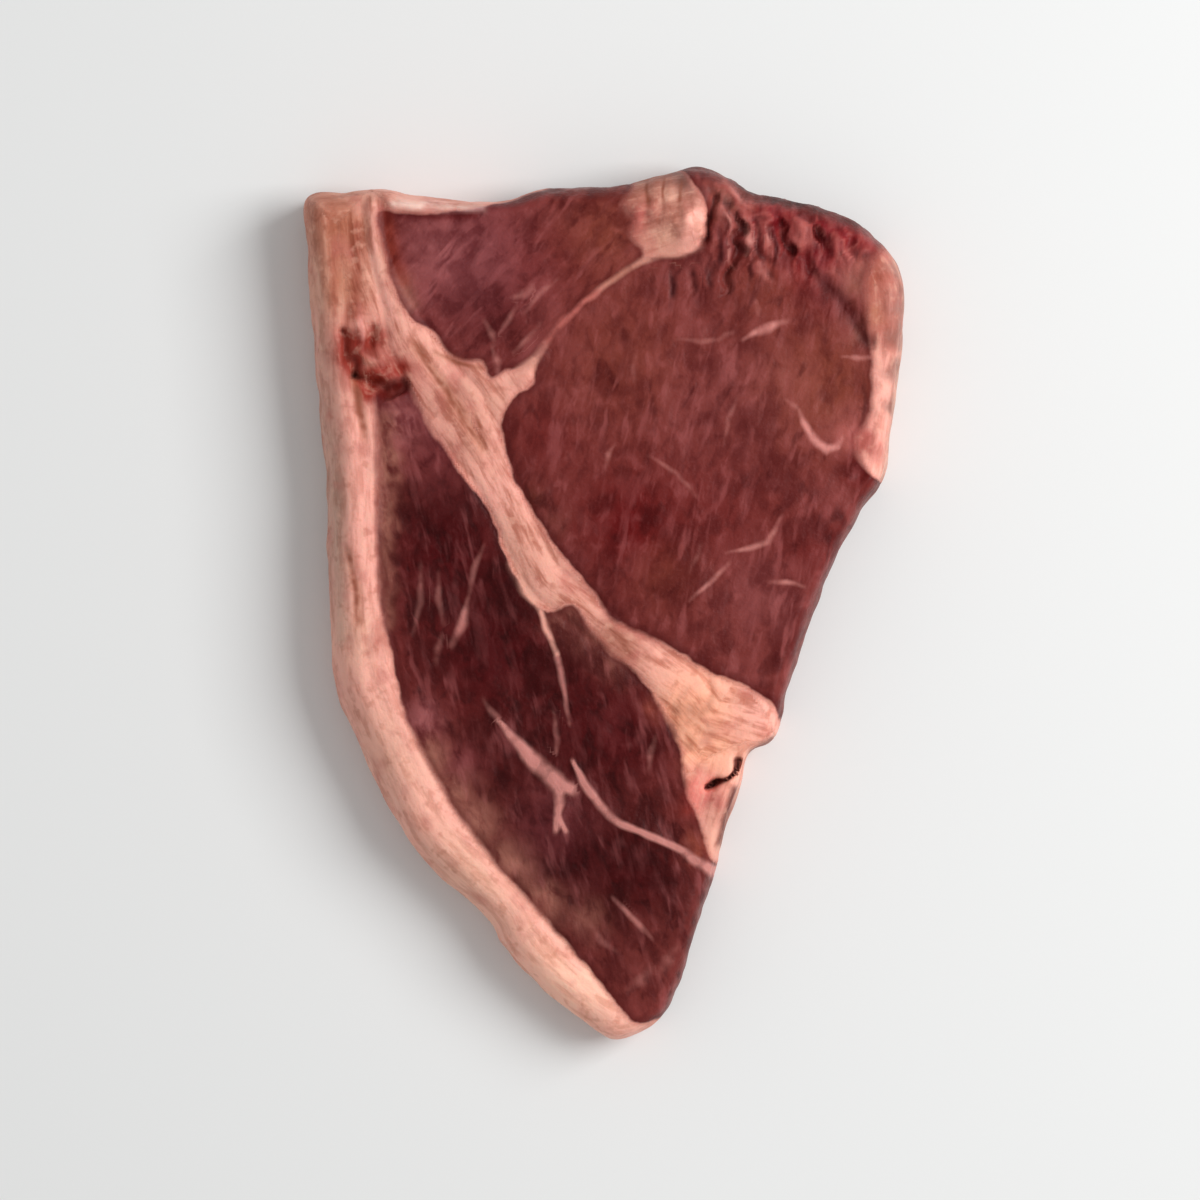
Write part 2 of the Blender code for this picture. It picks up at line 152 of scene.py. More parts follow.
def outward(loop, place, reach=3.0):
    """Outward direction of a clockwise loop, evened out over a short stretch."""
    along = read_loop(loop, place + reach)[:, :2] - read_loop(loop, place - reach)[:, :2]
    along /= np.linalg.norm(along, axis=1)[:, None]
    return np.column_stack((-along[:, 1], along[:, 0]))


probe = np.array([EYE_CENTRE])
print("the eye's middle is", round(nearest_on_loop(probe, outline)[0][0], 1), "mm from the edge")

# %% [markdown]
# ## Seams, gaps and strands
# Fat seams stand up a little and have a furrow on both sides, because the knife drags soft fat
# and firm lean differently. Gaps open where the muscles part. Each is a line of stations with a
# half width, so one function serves them all. A displacement texture would need an image.

# %% Lines of the relief: stations x, y, half width
MAIN_SEAM = [
    (-53.0, 90.5, 1.8), (-52.2, 82.5, 1.8), (-50.0, 74.5, 2.0), (-47.4, 68.0, 2.5),
    (-44.4, 60.0, 4.0), (-40.0, 52.0, 4.5), (-34.2, 44.0, 5.5), (-29.0, 36.0, 4.5),
    (-24.4, 27.0, 3.4), (-17.8, 12.0, 3.2), (-13.8, 5.0, 3.2), (-7.0, -0.3, 3.0),
    (4.4, -9.4, 3.0), (11.3, -14.7, 3.4), (18.0, -19.7, 4.5),
]
SEAM_END = [(24.0, -26.0, 7.0), (31.0, -27.0, 5.5)]
SEAM_FORK = [(-29.0, 49.7, 3.6), (-22.8, 50.8, 2.4), (-18.5, 51.5, 1.8)]
EYE_SEAM = [
    (-18.5, 51.5, 1.8), (-13.5, 58.0, 1.3), (-6.0, 67.0, 1.3), (3.0, 74.5, 1.4),
    (11.0, 77.7, 1.6), (17.0, 79.5, 2.0),
]
LOWER_SEAM = [
    (-7.6, -36.0, 0.9), (-3.1, -43.5, 1.5), (3.3, -50.1, 1.5), (13.5, -54.4, 1.5),
    (25.0, -61.0, 1.8),
]
LOWER_WEDGE = [(-24.0, -27.0, 0.9), (-16.0, -36.7, 2.2), (-9.4, -41.6, 2.5), (-10.8, -50.0, 1.4)]
SEAMS = [
    (MAIN_SEAM, 0.7, 0.45), (SEAM_END, 1.0, 0.35), (SEAM_FORK, 0.5, 0.15), (EYE_SEAM, 0.4, 0.0),
    (LOWER_SEAM, 0.4, 0.0), (LOWER_WEDGE, 0.4, 0.0),
]
RIND_LINE = [
    (-52.0, 43.0, 1.4), (-49.8, 30.0, 1.2), (-51.0, 6.0, 1.2), (-47.0, -19.5, 1.2),
    (-42.0, -33.0, 1.2), (-34.0, -47.5, 1.2), (-23.5, -61.0, 1.2), (3.0, -91.5, 1.2),
]
RIND_CREASE = [(-59.0, 12.0, 1.0), (-56.5, 4.0, 1.2), (-56.0, -4.0, 1.0)]
RIND_FOLD = [(-57.2, 50.5, 1.0), (-56.0, 44.0, 1.1), (-54.6, 38.0, 0.9)]
SEAM_SPLIT = [(-43.0, 58.5, 0.9), (-36.3, 49.0, 1.1), (-31.8, 41.5, 1.1), (-28.0, 35.5, 0.9)]
POCKET = [(-59.8, 62.2, 0.9), (-58.8, 58.8, 1.2), (-58.2, 55.6, 1.3), (-57.0, 52.6, 1.0)]
POCKET_HOLE = [(-52.6, 63.0, 0.9), (-53.0, 59.6, 1.1)]
POCKET_MOUTH = [
    (-56.3, 52.4, 0.9), (-53.3, 50.4, 1.4), (-50.0, 48.6, 1.7), (-47.2, 48.8, 1.5),
    (-45.2, 50.4, 0.9),
]
POCKET_RIDGES = [
    [(-56.4, 56.5, 0.9), (-52.5, 55.0, 1.0)], [(-53.5, 51.8, 0.8), (-50.8, 52.4, 0.9)],
    [(-49.5, 46.5, 0.8), (-46.5, 47.0, 0.8)],
]
POCKET_TAB = [(-56.2, 67.0, 1.3), (-55.8, 62.5, 1.6), (-55.4, 57.5, 1.4)]
END_SLIT = [
    (22.8, -41.5, 0.65), (24.8, -41.4, 0.85), (27.6, -40.3, 0.8), (29.3, -38.4, 0.75),
    (30.3, -35.4, 0.7),
]
LUMP_FOLD = [(24.6, 93.0, 1.0), (24.1, 88.7, 1.2), (23.4, 85.3, 1.1), (22.4, 83.2, 0.8)]
LUMP_GROOVES = [
    [(8.5, 99.0, 0.9), (9.4, 92.0, 1.0), (8.8, 86.5, 0.8)],
    [(12.4, 99.0, 0.8), (13.1, 93.0, 0.9), (12.4, 88.0, 0.7)],
    [(16.4, 98.0, 0.9), (16.2, 91.0, 1.0), (16.9, 87.0, 0.7)],
]
DEEP_TEARS = [
    [(29.2, 88.2, 0.8), (30.5, 85.3, 0.9), (29.8, 81.9, 0.9), (30.5, 80.0, 1.0), (29.4, 77.8, 1.0),
     (27.6, 74.6, 0.8), (27.3, 71.2, 0.6)],
    [(39.3, 87.2, 0.8), (40.9, 82.9, 1.0), (41.4, 79.0, 0.8)],
    [(29.8, 94.8, 0.9), (32.8, 91.9, 0.9)], [(48.6, 84.5, 0.9), (49.4, 80.5, 1.0)],
    [(55.5, 83.6, 0.9), (56.2, 80.0, 0.9)],
]
SHALLOW_TEARS = [
    [(34.6, 88.5, 0.9), (35.2, 82.5, 1.0)], [(37.4, 81.5, 0.9), (36.3, 77.2, 1.0)],
    [(15.3, 75.3, 0.9), (15.2, 69.5, 0.8)], [(19.4, 76.0, 0.8), (20.2, 71.0, 0.8)],
    [(45.4, 79.0, 0.9), (46.5, 75.0, 0.9)], [(24.3, 76.0, 0.8), (23.8, 72.5, 0.8)],
]
CREASE_ARC = [(47.0, 75.5, 1.3), (51.5, 71.5, 1.9), (56.0, 65.5, 1.9), (60.0, 59.0, 1.4)]
SIDE_DENT = [(62.5, 33.0, 1.6), (57.5, 29.0, 1.4)]
CREVICES = [
    (RIND_LINE, 0.4), (RIND_CREASE, 0.4), (RIND_FOLD, 0.3), (SEAM_SPLIT, 0.5),
    (CREASE_ARC, 0.7), (SIDE_DENT, 0.8),
]
CREVICES += [(tear, 0.4) for tear in SHALLOW_TEARS] + [(groove, 0.45) for groove in LUMP_GROOVES]
TEARS = [
    (POCKET, 1.7), (POCKET_HOLE, 1.3), (POCKET_MOUTH, 2.1), (END_SLIT, 4.4), (LUMP_FOLD, 2.3),
]
TEARS += [(tear, 1.6) for tear in DEEP_TEARS]
FAT_LUMP = [(9.0, 90.0, 3.0), (13.5, 90.5, 4.6), (18.0, 88.5, 4.4), (19.0, 84.5, 3.4)]
TORN_STRANDS = [
    [(27.2, 96.0, 1.0), (29.6, 92.9, 1.1), (32.4, 90.3, 0.9)],
    [(26.8, 90.0, 0.8), (28.2, 87.0, 0.9), (28.7, 84.4, 0.8)],
    [(31.9, 87.0, 0.8), (32.0, 84.2, 1.0), (32.9, 81.9, 1.1), (31.9, 79.4, 0.8)],
    [(35.5, 88.5, 0.8), (36.5, 84.9, 1.0), (37.4, 79.8, 0.9)],
    [(44.2, 86.3, 1.3), (44.8, 81.6, 1.6)], [(52.0, 84.5, 1.0), (52.6, 78.8, 1.2)],
    [(34.7, 77.2, 0.9), (35.8, 74.2, 0.9)],
]
LIPS = [[(-46.0, 91.0, 1.6), (-27.0, 89.8, 1.3)], [(62.0, 60.0, 1.4), (62.2, 44.0, 1.4)]]
RISES = [(FAT_LUMP, 1.4), (POCKET_TAB, 0.7)]
RISES += [(strand, 0.5) for strand in TORN_STRANDS]
RISES += [(ridge, 0.8) for ridge in POCKET_RIDGES]
RISES += [(lip, 0.5) for lip in LIPS]


def line_gap(points, line):
    """Distance to an open line of stations, and the half width at the nearest place."""
    best = np.full(len(points), np.inf)
    width = np.zeros(len(points))
    for start, end in zip(line[:-1], line[1:]):
        origin = np.array(start[:2])
        along = np.array(end[:2]) - origin
        share = np.clip((points - origin) @ along / (along @ along), 0.0, 1.0)
        apart = points - origin - share[:, None] * along
        gap = np.hypot(apart[:, 0], apart[:, 1])
        closer = gap < best
        best[closer] = gap[closer]
        width[closer] = start[2] + (end[2] - start[2]) * share[closer]
    return best, width


def beside(points, line):
    """One on the line itself, about a third at its half width, and nought well away from it."""
    gap, width = line_gap(points, line)
    return np.exp(-(gap / width) ** 2)


print("seams and gaps:", len(SEAMS), "and", len(CREVICES + TEARS))

# %% [markdown]
# ## The height of the cut face
# The slice is about 20 mm thick, thinner at the tip, a little proud over the eye muscle. A few
# long waves keep it from looking machined. The shoulder is a quarter of an ellipse from the cut
# face down to the widest line of the side. All of it is one height for each place in plan, which
# keeps the surface free of overlaps.

# %% Thickness, long waves and relief
WAVE_COUNT = 9
WAVE_RISE = 0.25
WAVE_LENGTHS = (14.0, 34.0)
WAVE_SEED = 7
FURROW_PLACE = 1.3
FURROW_WIDTH = 0.9
WIDEST_SHARE = 0.42
TORN_LENGTHS = (3.6, 9.5)
TORN_SEEDS = (21, 22)
TORN_SWAY = 0.6
DEPTH_SEED = 23
DEPTH_SWAY = 0.3


def thickness(points):
    """Thickness of the slice without its relief."""
    share = np.clip((TAPER_FROM_Y - points[:, 1]) / (TAPER_FROM_Y - TAPER_TO_Y), 0.0, 1.0)
    taper = THICK_BROAD + (THICK_TIP - THICK_BROAD) * share ** TAPER_POWER
    distance = np.linalg.norm(points - np.array(EYE_CENTRE), axis=1)
    return taper + EYE_RISE * np.exp(-(distance / EYE_REACH) ** 2)


def unevenness(points, seed=WAVE_SEED, lengths=WAVE_LENGTHS):
    """A few long waves in fixed but irregular directions, added up to a height of about one."""
    draw = np.random.default_rng(seed)
    total = np.zeros(len(points))
    for _ in range(WAVE_COUNT):
        angle = draw.uniform(0.0, math.tau)
        length = draw.uniform(*lengths)
        phase = draw.uniform(0.0, math.tau)
        heading = np.array((math.cos(angle), math.sin(angle)))
        total += np.sin(math.tau * (points @ heading) / length + phase)
    return total / math.sqrt(WAVE_COUNT)


def ragged(points):
    """The same points swayed a little, so that a line measured from them looks torn."""
    sway = [unevenness(points, seed, TORN_LENGTHS) for seed in TORN_SEEDS]
    return points + TORN_SWAY * np.column_stack(sway)


def relief(points):
    """Height that seams, crevices and torn strands add to the cut face."""
    total = WAVE_RISE * unevenness(points)
    for line, rise, furrow in SEAMS:
        gap, width = line_gap(points, line)
        total += rise * np.exp(-(gap / width) ** 2)
        total -= furrow * np.exp(-((gap - FURROW_PLACE * width) / FURROW_WIDTH) ** 2)
    for line, depth in CREVICES:
        total -= depth * beside(points, line)
    swayed = ragged(points)
    depth_share = 1.0 + DEPTH_SWAY * unevenness(points, DEPTH_SEED, TORN_LENGTHS)
    for line, depth in TEARS:
        total -= depth * depth_share * beside(swayed, line)
    for line, rise in RISES:
        total += rise * beside(swayed, line)
    return total


def face_height(points, inset, shoulder):
    """Height of the upper surface at points that lie a given inset from the outline."""
    low = WIDEST_SHARE * thickness(points)
    full = thickness(points) + relief(points)
    run = np.clip(1.0 - inset / shoulder, 0.0, 1.0)
    return low + (full - low) * np.sqrt(1.0 - run ** 2)


print("height over the eye:", round(face_height(probe, np.array([50.0]), np.array([4.0]))[0], 2))

# %% [markdown]
# ## The muscles
# A muscle's edge is drawn as a closed curve too. Where a place lies outside all of them it is
# fat. The signed distance to that edge is kept on the mesh and not as a picture, so the material
# can draw a sharp border from it at any size. Thin seams and the short flecks of marbling are
# lines with a half width, since they are finer than the mesh's cells.

# %% Edges of the muscles: stations x, y
UPPER_MUSCLE = [
    (-51.6, 89.0), (-44.5, 88.3), (-35.5, 89.0), (-24.0, 91.0), (-15.0, 94.5), (-5.0, 98.0),
    (4.0, 99.0), (6.0, 95.0), (4.0, 90.5), (6.8, 87.0), (5.6, 83.5), (8.5, 79.0), (1.0, 72.6),
    (-4.7, 68.1), (-10.3, 62.8),
    (-12.6, 59.2), (-14.9, 56.6), (-18.8, 53.8), (-23.0, 53.0), (-26.0, 51.0), (-28.0, 55.0),
    (-34.0, 55.5), (-38.0, 60.5), (-40.5, 63.0), (-43.2, 64.0), (-45.4, 66.8), (-47.8, 71.2),
    (-50.0, 79.5),
]
EYE_MUSCLE = [
    (19.8, 79.6), (15.0, 79.0), (7.8, 77.8), (1.0, 73.8), (-4.7, 69.3), (-10.3, 64.2),
    (-12.6, 60.8), (-14.9, 57.0), (-16.5, 50.0), (-21.0, 46.5), (-23.5, 41.0), (-22.5, 34.5),
    (-20.5, 28.0), (-17.0, 22.0), (-13.0, 15.5), (-8.0, 9.0), (-2.5, 2.5), (1.5, -3.5),
    (8.0, -6.5), (16.0, -10.5), (24.0, -15.5), (32.5, -19.0), (38.5, -23.5), (44.0, -32.0),
    (55.5, -19.5), (71.5, 10.0), (66.0, 24.0), (59.5, 30.0), (56.8, 36.5), (59.2, 41.0),
    (60.6, 46.5), (60.4, 55.0), (59.8, 61.0), (59.4, 68.0), (59.4, 74.0), (61.5, 79.0),
    (66.5, 84.0), (66.0, 90.0), (50.0, 99.0), (35.0, 104.0), (16.0, 104.0), (18.4, 98.0),
    (21.4, 94.0), (23.0, 89.6), (23.2, 86.0), (22.0, 82.0),
]
LOWER_MUSCLES = [
    (-46.0, 51.0), (-43.0, 46.0), (-40.0, 40.0), (-36.0, 34.5), (-32.5, 29.0), (-28.5, 24.0),
    (-25.5, 19.0), (-23.5, 12.5), (-20.5, 6.5), (-17.0, 1.0), (-13.0, -2.0), (-7.5, -0.5),
    (-3.0, -6.5), (1.5, -11.5), (7.0, -16.0), (11.0, -21.5), (14.5, -27.0), (17.0, -33.5),
    (18.0, -40.0), (18.8, -44.0), (20.8, -48.5), (22.2, -53.5), (24.4, -58.5), (31.5, -64.0),
    (27.0, -81.0), (21.5, -93.0), (12.5, -95.0), (6.0, -95.0), (-2.5, -84.5), (-10.0, -76.0),
    (-17.0, -68.0),
    (-23.5, -61.0), (-29.0, -54.0), (-34.0, -47.5), (-38.0, -40.5), (-42.0, -33.0),
    (-45.5, -26.0), (-46.8, -19.5), (-48.5, -11.5), (-50.8, -2.5), (-51.6, 7.5), (-52.0, 19.0),
    (-51.8, 28.0), (-51.8, 36.0), (-52.0, 43.0), (-52.0, 48.0),
]
THIN_SEAMS = [
    [(-18.5, 52.5, 2.0), (-16.6, 55.0, 1.3), (-14.9, 57.2, 1.0), (-10.3, 63.6, 0.9),
     (-4.7, 68.7, 0.8), (1.0, 73.2, 0.8), (7.8, 77.8, 0.9), (12.5, 79.3, 1.2), (17.9, 81.0, 2.0)],
    [(-17.2, 3.0, 2.0), (-15.4, 0.0, 0.9), (-13.5, -5.6, 0.75), (-11.3, -10.8, 0.7)],
]
KNOT = [
    [(-24.0, -27.2, 0.6), (-21.6, -29.8, 0.9), (-18.8, -33.0, 1.4), (-15.8, -36.4, 1.8),
     (-13.0, -39.0, 2.0), (-10.5, -41.2, 2.0), (-8.8, -41.8, 1.5)],
    [(-10.4, -41.6, 1.5), (-10.6, -46.0, 1.1), (-11.2, -50.4, 0.8)],
    [(-10.6, -48.0, 0.7), (-9.4, -51.0, 0.6)],
    [(-7.0, -36.8, 0.6), (-5.4, -40.0, 0.9), (-3.1, -43.5, 1.0), (0.6, -48.0, 1.0),
     (3.3, -50.1, 0.9), (7.8, -51.9, 0.8), (11.3, -53.3, 0.8), (14.7, -54.9, 0.9),
     (18.1, -56.7, 1.0), (21.0, -58.8, 1.2), (25.5, -61.5, 1.5)],
]
FLECKS = [
    ([(40.4, 63.9, 1.0), (37.4, 62.8, 1.2), (34.4, 61.5, 1.1), (31.9, 60.4, 0.8)], 0.95),
    ([(28.4, 61.4, 0.8), (26.4, 60.3, 0.9)], 0.65), ([(26.0, 60.2, 0.7), (17.2, 59.9, 0.8)], 0.28),
    ([(44.2, 43.5, 0.8), (45.1, 41.3, 1.0), (46.5, 38.5, 1.1), (48.3, 36.3, 1.1),
      (50.3, 35.1, 1.1), (52.4, 35.6, 0.9), (53.5, 37.4, 0.7)], 0.95),
    ([(41.5, 46.0, 0.7), (44.2, 43.5, 0.8)], 0.45), ([(54.5, 56.0, 0.6), (59.7, 56.0, 0.8)], 0.80),
    ([(39.4, 18.6, 0.8), (36.9, 14.0, 0.9), (32.8, 12.6, 0.8), (28.4, 11.6, 0.7)], 0.60),
    ([(27.7, 8.9, 0.7), (24.9, 5.8, 0.8), (19.8, 1.4, 0.7)], 0.50),
    ([(38.2, 4.9, 0.7), (44.4, 4.0, 0.8)], 0.65), ([(1.5, 35.4, 0.8), (0.2, 32.0, 0.9)], 0.55),
    ([(10.3, 33.3, 0.7), (20.3, 24.9, 0.8)], 0.26), ([(6.6, 56.0, 0.7), (6.4, 51.0, 0.7)], 0.22),
    ([(34.4, 68.0, 0.8), (34.6, 66.4, 0.8)], 0.40), ([(29.8, 46.5, 0.8), (27.2, 37.0, 0.8)], 0.20),
    ([(21.5, 12.5, 0.7), (19.3, 8.0, 0.8)], 0.25),
    ([(-20.0, 69.8, 1.0), (-17.4, 71.2, 1.3)], 0.75), ([(-18.0, 66.5, 0.8), (-11.5, 73.4, 0.8)], 0.30),
    ([(-24.0, 62.0, 0.8), (-20.4, 67.4, 0.9)], 0.32), ([(-27.0, 63.2, 0.9), (-25.2, 59.5, 1.0)], 0.40),
    ([(-20.5, 57.5, 0.8), (-15.5, 63.0, 0.8)], 0.28), ([(-25.5, 57.5, 0.9), (-24.5, 53.0, 1.1)], 0.45),
    ([(-28.0, 12.4, 0.8), (-30.8, 3.1, 0.9)], 0.32), ([(-31.4, 0.4, 0.9), (-34.4, -8.3, 1.4)], 0.62),
    ([(-38.0, 6.0, 0.9), (-36.8, -4.0, 1.0)], 0.24), ([(-42.0, 8.0, 1.0), (-43.5, -6.0, 1.0)], 0.20),
    ([(-37.4, -8.0, 1.0), (-38.4, -12.5, 1.1)], 0.32), ([(-11.9, -25.3, 0.8), (-11.3, -36.0, 0.8)], 0.26),
    ([(-27.2, -22.5, 0.9), (-23.5, -27.0, 1.1)], 0.45),
    ([(-12.1, -9.0, 0.8), (-10.9, -12.5, 0.9), (-9.6, -18.5, 0.8), (-8.2, -26.9, 0.7)], 0.60),
    ([(11.3, -31.0, 0.9), (9.9, -37.0, 0.9)], 0.32),
    ([(2.2, -67.4, 0.8), (6.0, -71.5, 0.9), (10.1, -75.8, 0.8)], 0.55),
    ([(15.5, -79.5, 1.6), (13.4, -83.0, 1.8)], 0.30), ([(9.8, -84.0, 1.6), (6.0, -87.4, 1.6)], 0.28),
    ([(-3.0, -74.0, 0.9), (2.0, -79.0, 0.9)], 0.22),
]
SPLITS = [
    [(-43.4, 58.8, 0.5), (-38.7, 51.6, 0.7), (-35.4, 47.4, 0.7), (-32.1, 41.6, 0.7), (-28.4, 36.0, 0.5)],
    [(-38.6, 57.2, 0.5), (-34.0, 54.6, 0.6), (-29.0, 53.6, 0.6)], [(-30.0, 44.0, 0.4), (-27.4, 38.0, 0.5)],
    [(-58.8, 12.6, 0.6), (-57.0, 4.0, 0.8), (-56.2, -4.0, 0.7)], RIND_FOLD,
    [(9.4, 98.0, 0.5), (9.6, 89.0, 0.6)], [(13.2, 97.5, 0.4), (13.1, 89.5, 0.5)],
    [(17.2, 96.0, 0.4), (16.6, 89.5, 0.5)],
]
# Cracks are dark red lines, most of them along the shallow tears: partly the dark red of blood, partly
# painted shade in those grooves.
CRACKS = [
    ([(15.2, 76.8, 0.8), (15.5, 72.5, 1.0), (15.0, 68.0, 0.8)], 0.85),
    ([(19.4, 77.0, 0.8), (20.4, 73.5, 0.9), (20.8, 69.0, 0.8)], 0.7),
    ([(24.4, 77.5, 0.8), (23.6, 74.0, 1.0), (23.9, 70.0, 0.8)], 0.7),
    ([(10.6, 76.0, 0.6), (10.8, 72.0, 0.8)], 0.45),
    ([(38.6, 83.5, 0.6), (38.9, 79.0, 0.8), (38.0, 75.0, 0.6)], 0.7),
    ([(34.3, 88.0, 0.6), (35.0, 84.0, 0.7), (34.4, 80.5, 0.7)], 0.85),
    ([(26.0, 84.0, 0.6), (26.4, 79.5, 0.8), (25.4, 76.0, 0.6)], 0.75),
    ([(32.6, 78.5, 0.6), (33.2, 75.0, 0.8), (32.6, 72.0, 0.6)], 0.65),
    ([(47.0, 80.0, 0.6), (47.6, 75.5, 0.7)], 0.6), ([(5.2, -68.9, 0.9), (6.6, -70.2, 0.9)], 0.7),
    ([(58.6, 51.5, 0.5), (59.2, 46.0, 0.6), (58.2, 40.5, 0.5)], 0.5),
]
STRANDS = [
    ([(27.4, 95.6, 0.6), (29.8, 92.6, 0.7), (32.2, 90.6, 0.5)], 0.6),
    ([(26.9, 89.8, 0.5), (28.3, 87.0, 0.6), (28.8, 84.6, 0.5)], 0.7),
    ([(31.8, 86.5, 0.5), (32.0, 84.2, 0.8), (32.9, 82.0, 0.9), (32.0, 79.8, 0.6)], 0.9),
    ([(36.4, 85.5, 0.5), (37.2, 80.5, 0.6)], 0.55), ([(25.0, 82.5, 0.5), (24.8, 79.5, 0.5)], 0.5),
    ([(28.2, 81.8, 0.5), (27.6, 78.5, 0.6), (28.8, 76.6, 0.5)], 0.6),
    ([(35.0, 77.0, 0.5), (35.9, 74.4, 0.6)], 0.5), ([(-54.6, 56.6, 0.5), (-51.0, 54.6, 0.6)], 0.6),
    ([(-55.9, 66.8, 0.8), (-55.3, 62.0, 0.9), (-55.2, 58.6, 0.6)], 0.8),
    ([(-51.8, 51.9, 0.5), (-49.4, 52.6, 0.6)], 0.5), ([(-49.0, 45.8, 0.6), (-47.6, 43.8, 0.7)], 0.5),
]
print("fine seams:", len(THIN_SEAMS), "flecks:", len(FLECKS), "cracks:", len(CRACKS))


def lean_depth(points):
    """Distance into the lean in millimetres: positive in muscle, negative in fat."""
    muscles = (UPPER_MUSCLE, EYE_MUSCLE, LOWER_MUSCLES)
    return np.max([nearest_on_loop(points, smooth_loop(edge, 2.0))[0] for edge in muscles], axis=0)


# %% [markdown]
# ## A plate of small faces
# The cut face needs an even skin of small quads. Filling the outline and subdividing it gives
# uneven triangles, and remeshing takes away the control of its border. A grid that is trimmed to
# the outline is the plainest way: `create_grid`, delete what lies outside, then walk its border.

# %% Trim a grid to the outline
def plan_points(verts):
    """Places of the vertices in plan, in millimetres."""
    return np.array([vert.co[:2] for vert in verts]) / MM


def is_sound(vert):
    """True for a vertex inside the plate, or one that its border passes exactly once."""
    borders = sum(edge.is_boundary for edge in vert.link_edges)
    return bool(vert.link_faces) and borders in (0, 2)


def trimmed_grid(mesh, loop, cell, inset):
    """Grid of square cells that lie inside the outline by at least the inset."""
    half = np.abs(loop[:, :2]).max(axis=0) + cell
    cells = np.ceil(2.0 * half / cell).astype(int)
    size = Matrix.Diagonal((half[0] * MM, half[1] * MM, 1.0, 1.0))
    made = bmesh.ops.create_grid(mesh, x_segments=cells[0], y_segments=cells[1], size=1.0,
                                 matrix=size)
    plate = made["verts"]
    depth, _ = nearest_on_loop(plan_points(plate), loop)
    outside = [vert for vert, gap in zip(plate, depth) if gap < inset + 0.5 * cell]
    while outside:
        bmesh.ops.delete(mesh, geom=outside, context="VERTS")
        plate = [vert for vert in plate if vert.is_valid]
        outside = [vert for vert in plate if not is_sound(vert)]
    return plate


def border_in_order(plate):
    """Vertices of the plate's border, one after the other."""
    first = next(vert for vert in plate if any(edge.is_boundary for edge in vert.link_edges))
    ring = [first]
    while True:
        steps = [edge.other_vert(ring[-1]) for edge in ring[-1].link_edges if edge.is_boundary]
        ahead = [vert for vert in steps if len(ring) < 2 or vert is not ring[-2]]
        if ahead[0] is first:
            return ring
        ring.append(ahead[0])


# %% [markdown]
# ## Rings round the side
# The side is drawn out of the plate's border, ring by ring, with `extrude_edge_only`. Each ring
# keeps the order of the last, so every vertex knows its place on the outline. A spin can't follow
# an uneven outline, and a bevel would round all of it alike.

# %% Extrude one ring and put it in place
def even_places(place, count, rounds=60):
    """Places along the loop, evened out while they keep their order around it."""
    turned = np.unwrap(place * math.tau / count) * count / math.tau
    lap = count if turned[-1] > turned[0] else -count
    for _ in range(rounds):
        before = np.concatenate(([turned[-1] - lap], turned[:-1]))
        after = np.concatenate((turned[1:], [turned[0] + lap]))
        turned = 0.5 * turned + 0.25 * (before + after)
    return turned % count


def next_ring(mesh, ring):
    """Extrude the ring's open edges, and return the new vertices in the ring's order."""
    members = set(ring)
    edges = {e for vert in ring for e in vert.link_edges if e.is_boundary}
    made = bmesh.ops.extrude_edge_only(mesh, edges=list(edges))["geom"]
    partner = {}
    for vert in made:
        if isinstance(vert, bmesh.types.BMVert):
            root = next(e.other_vert(vert) for e in vert.link_edges if e.other_vert(vert) in members)
            partner[root] = vert
    return [partner[vert] for vert in ring]


def move(verts, points, heights):
    """Put each vertex at its point and height."""
    for vert, point, height in zip(verts, points, heights):
        vert.co = (point[0] * MM, point[1] * MM, height * MM)


# %% [markdown]
# ## The cut face, the side and the underside
# The face gets cells of half a millimetre, fine enough for the grain of the meat. The side takes
# rings from the shoulder to the widest line, and more below it, where the slice draws in to what
# it rests on. The underside lies flat, so cells three times as wide are enough. `triangle_fill`
# closes the flat strip between the two: `bridge_loops` would pair their points one by one, and
# it twists where one border has three times as many as the other.

# %% Build the closed mesh
FACE_CELL = 0.56
BASE_CELL = 1.6
FACE_INSET = 1.3
SHOULDER_RINGS = 6
SIDE_RINGS = 14
UNDERCUT = 2.6
UNDERCUT_SWAY = 0.7
BASE_EDGE = 0.5

steak_mesh = bmesh.new()
face = trimmed_grid(steak_mesh, outline, FACE_CELL, FACE_INSET)
ring = border_in_order(face)
place = even_places(nearest_on_loop(plan_points(ring), outline)[1], len(outline))
edge = read_loop(outline, place)
away = outward(outline, place)
face_plan = plan_points(face)
face_inset, face_place = nearest_on_loop(face_plan, outline)
move(face, face_plan, face_height(face_plan, face_inset, read_loop(outline, face_place)[:, 2]))

for step in range(SHOULDER_RINGS + 1):
    inset = np.full(len(ring), FACE_INSET * (1.0 - step / SHOULDER_RINGS) ** 2)
    points = edge[:, :2] - away * inset[:, None]
    ring = next_ring(steak_mesh, ring)
    move(ring, points, face_height(points, inset, edge[:, 2]))
print("cut face:", len(face), "vertices, border:", len(ring))

# %% Draw the side down to the base
widest = WIDEST_SHARE * thickness(edge[:, :2])
undercut = UNDERCUT + UNDERCUT_SWAY * unevenness(edge[:, :2])
for step in range(1, SIDE_RINGS + 1):
    drop = step / SIDE_RINGS
    points = edge[:, :2] - away * (undercut * drop ** 2)[:, None]
    ring = next_ring(steak_mesh, ring)
    move(ring, points, widest * (1.0 - drop) + BASE_EDGE * drop ** 4)
points = edge[:, :2] - away * (undercut + BASE_EDGE)[:, None]
ring = next_ring(steak_mesh, ring)
move(ring, points, np.zeros(len(ring)))

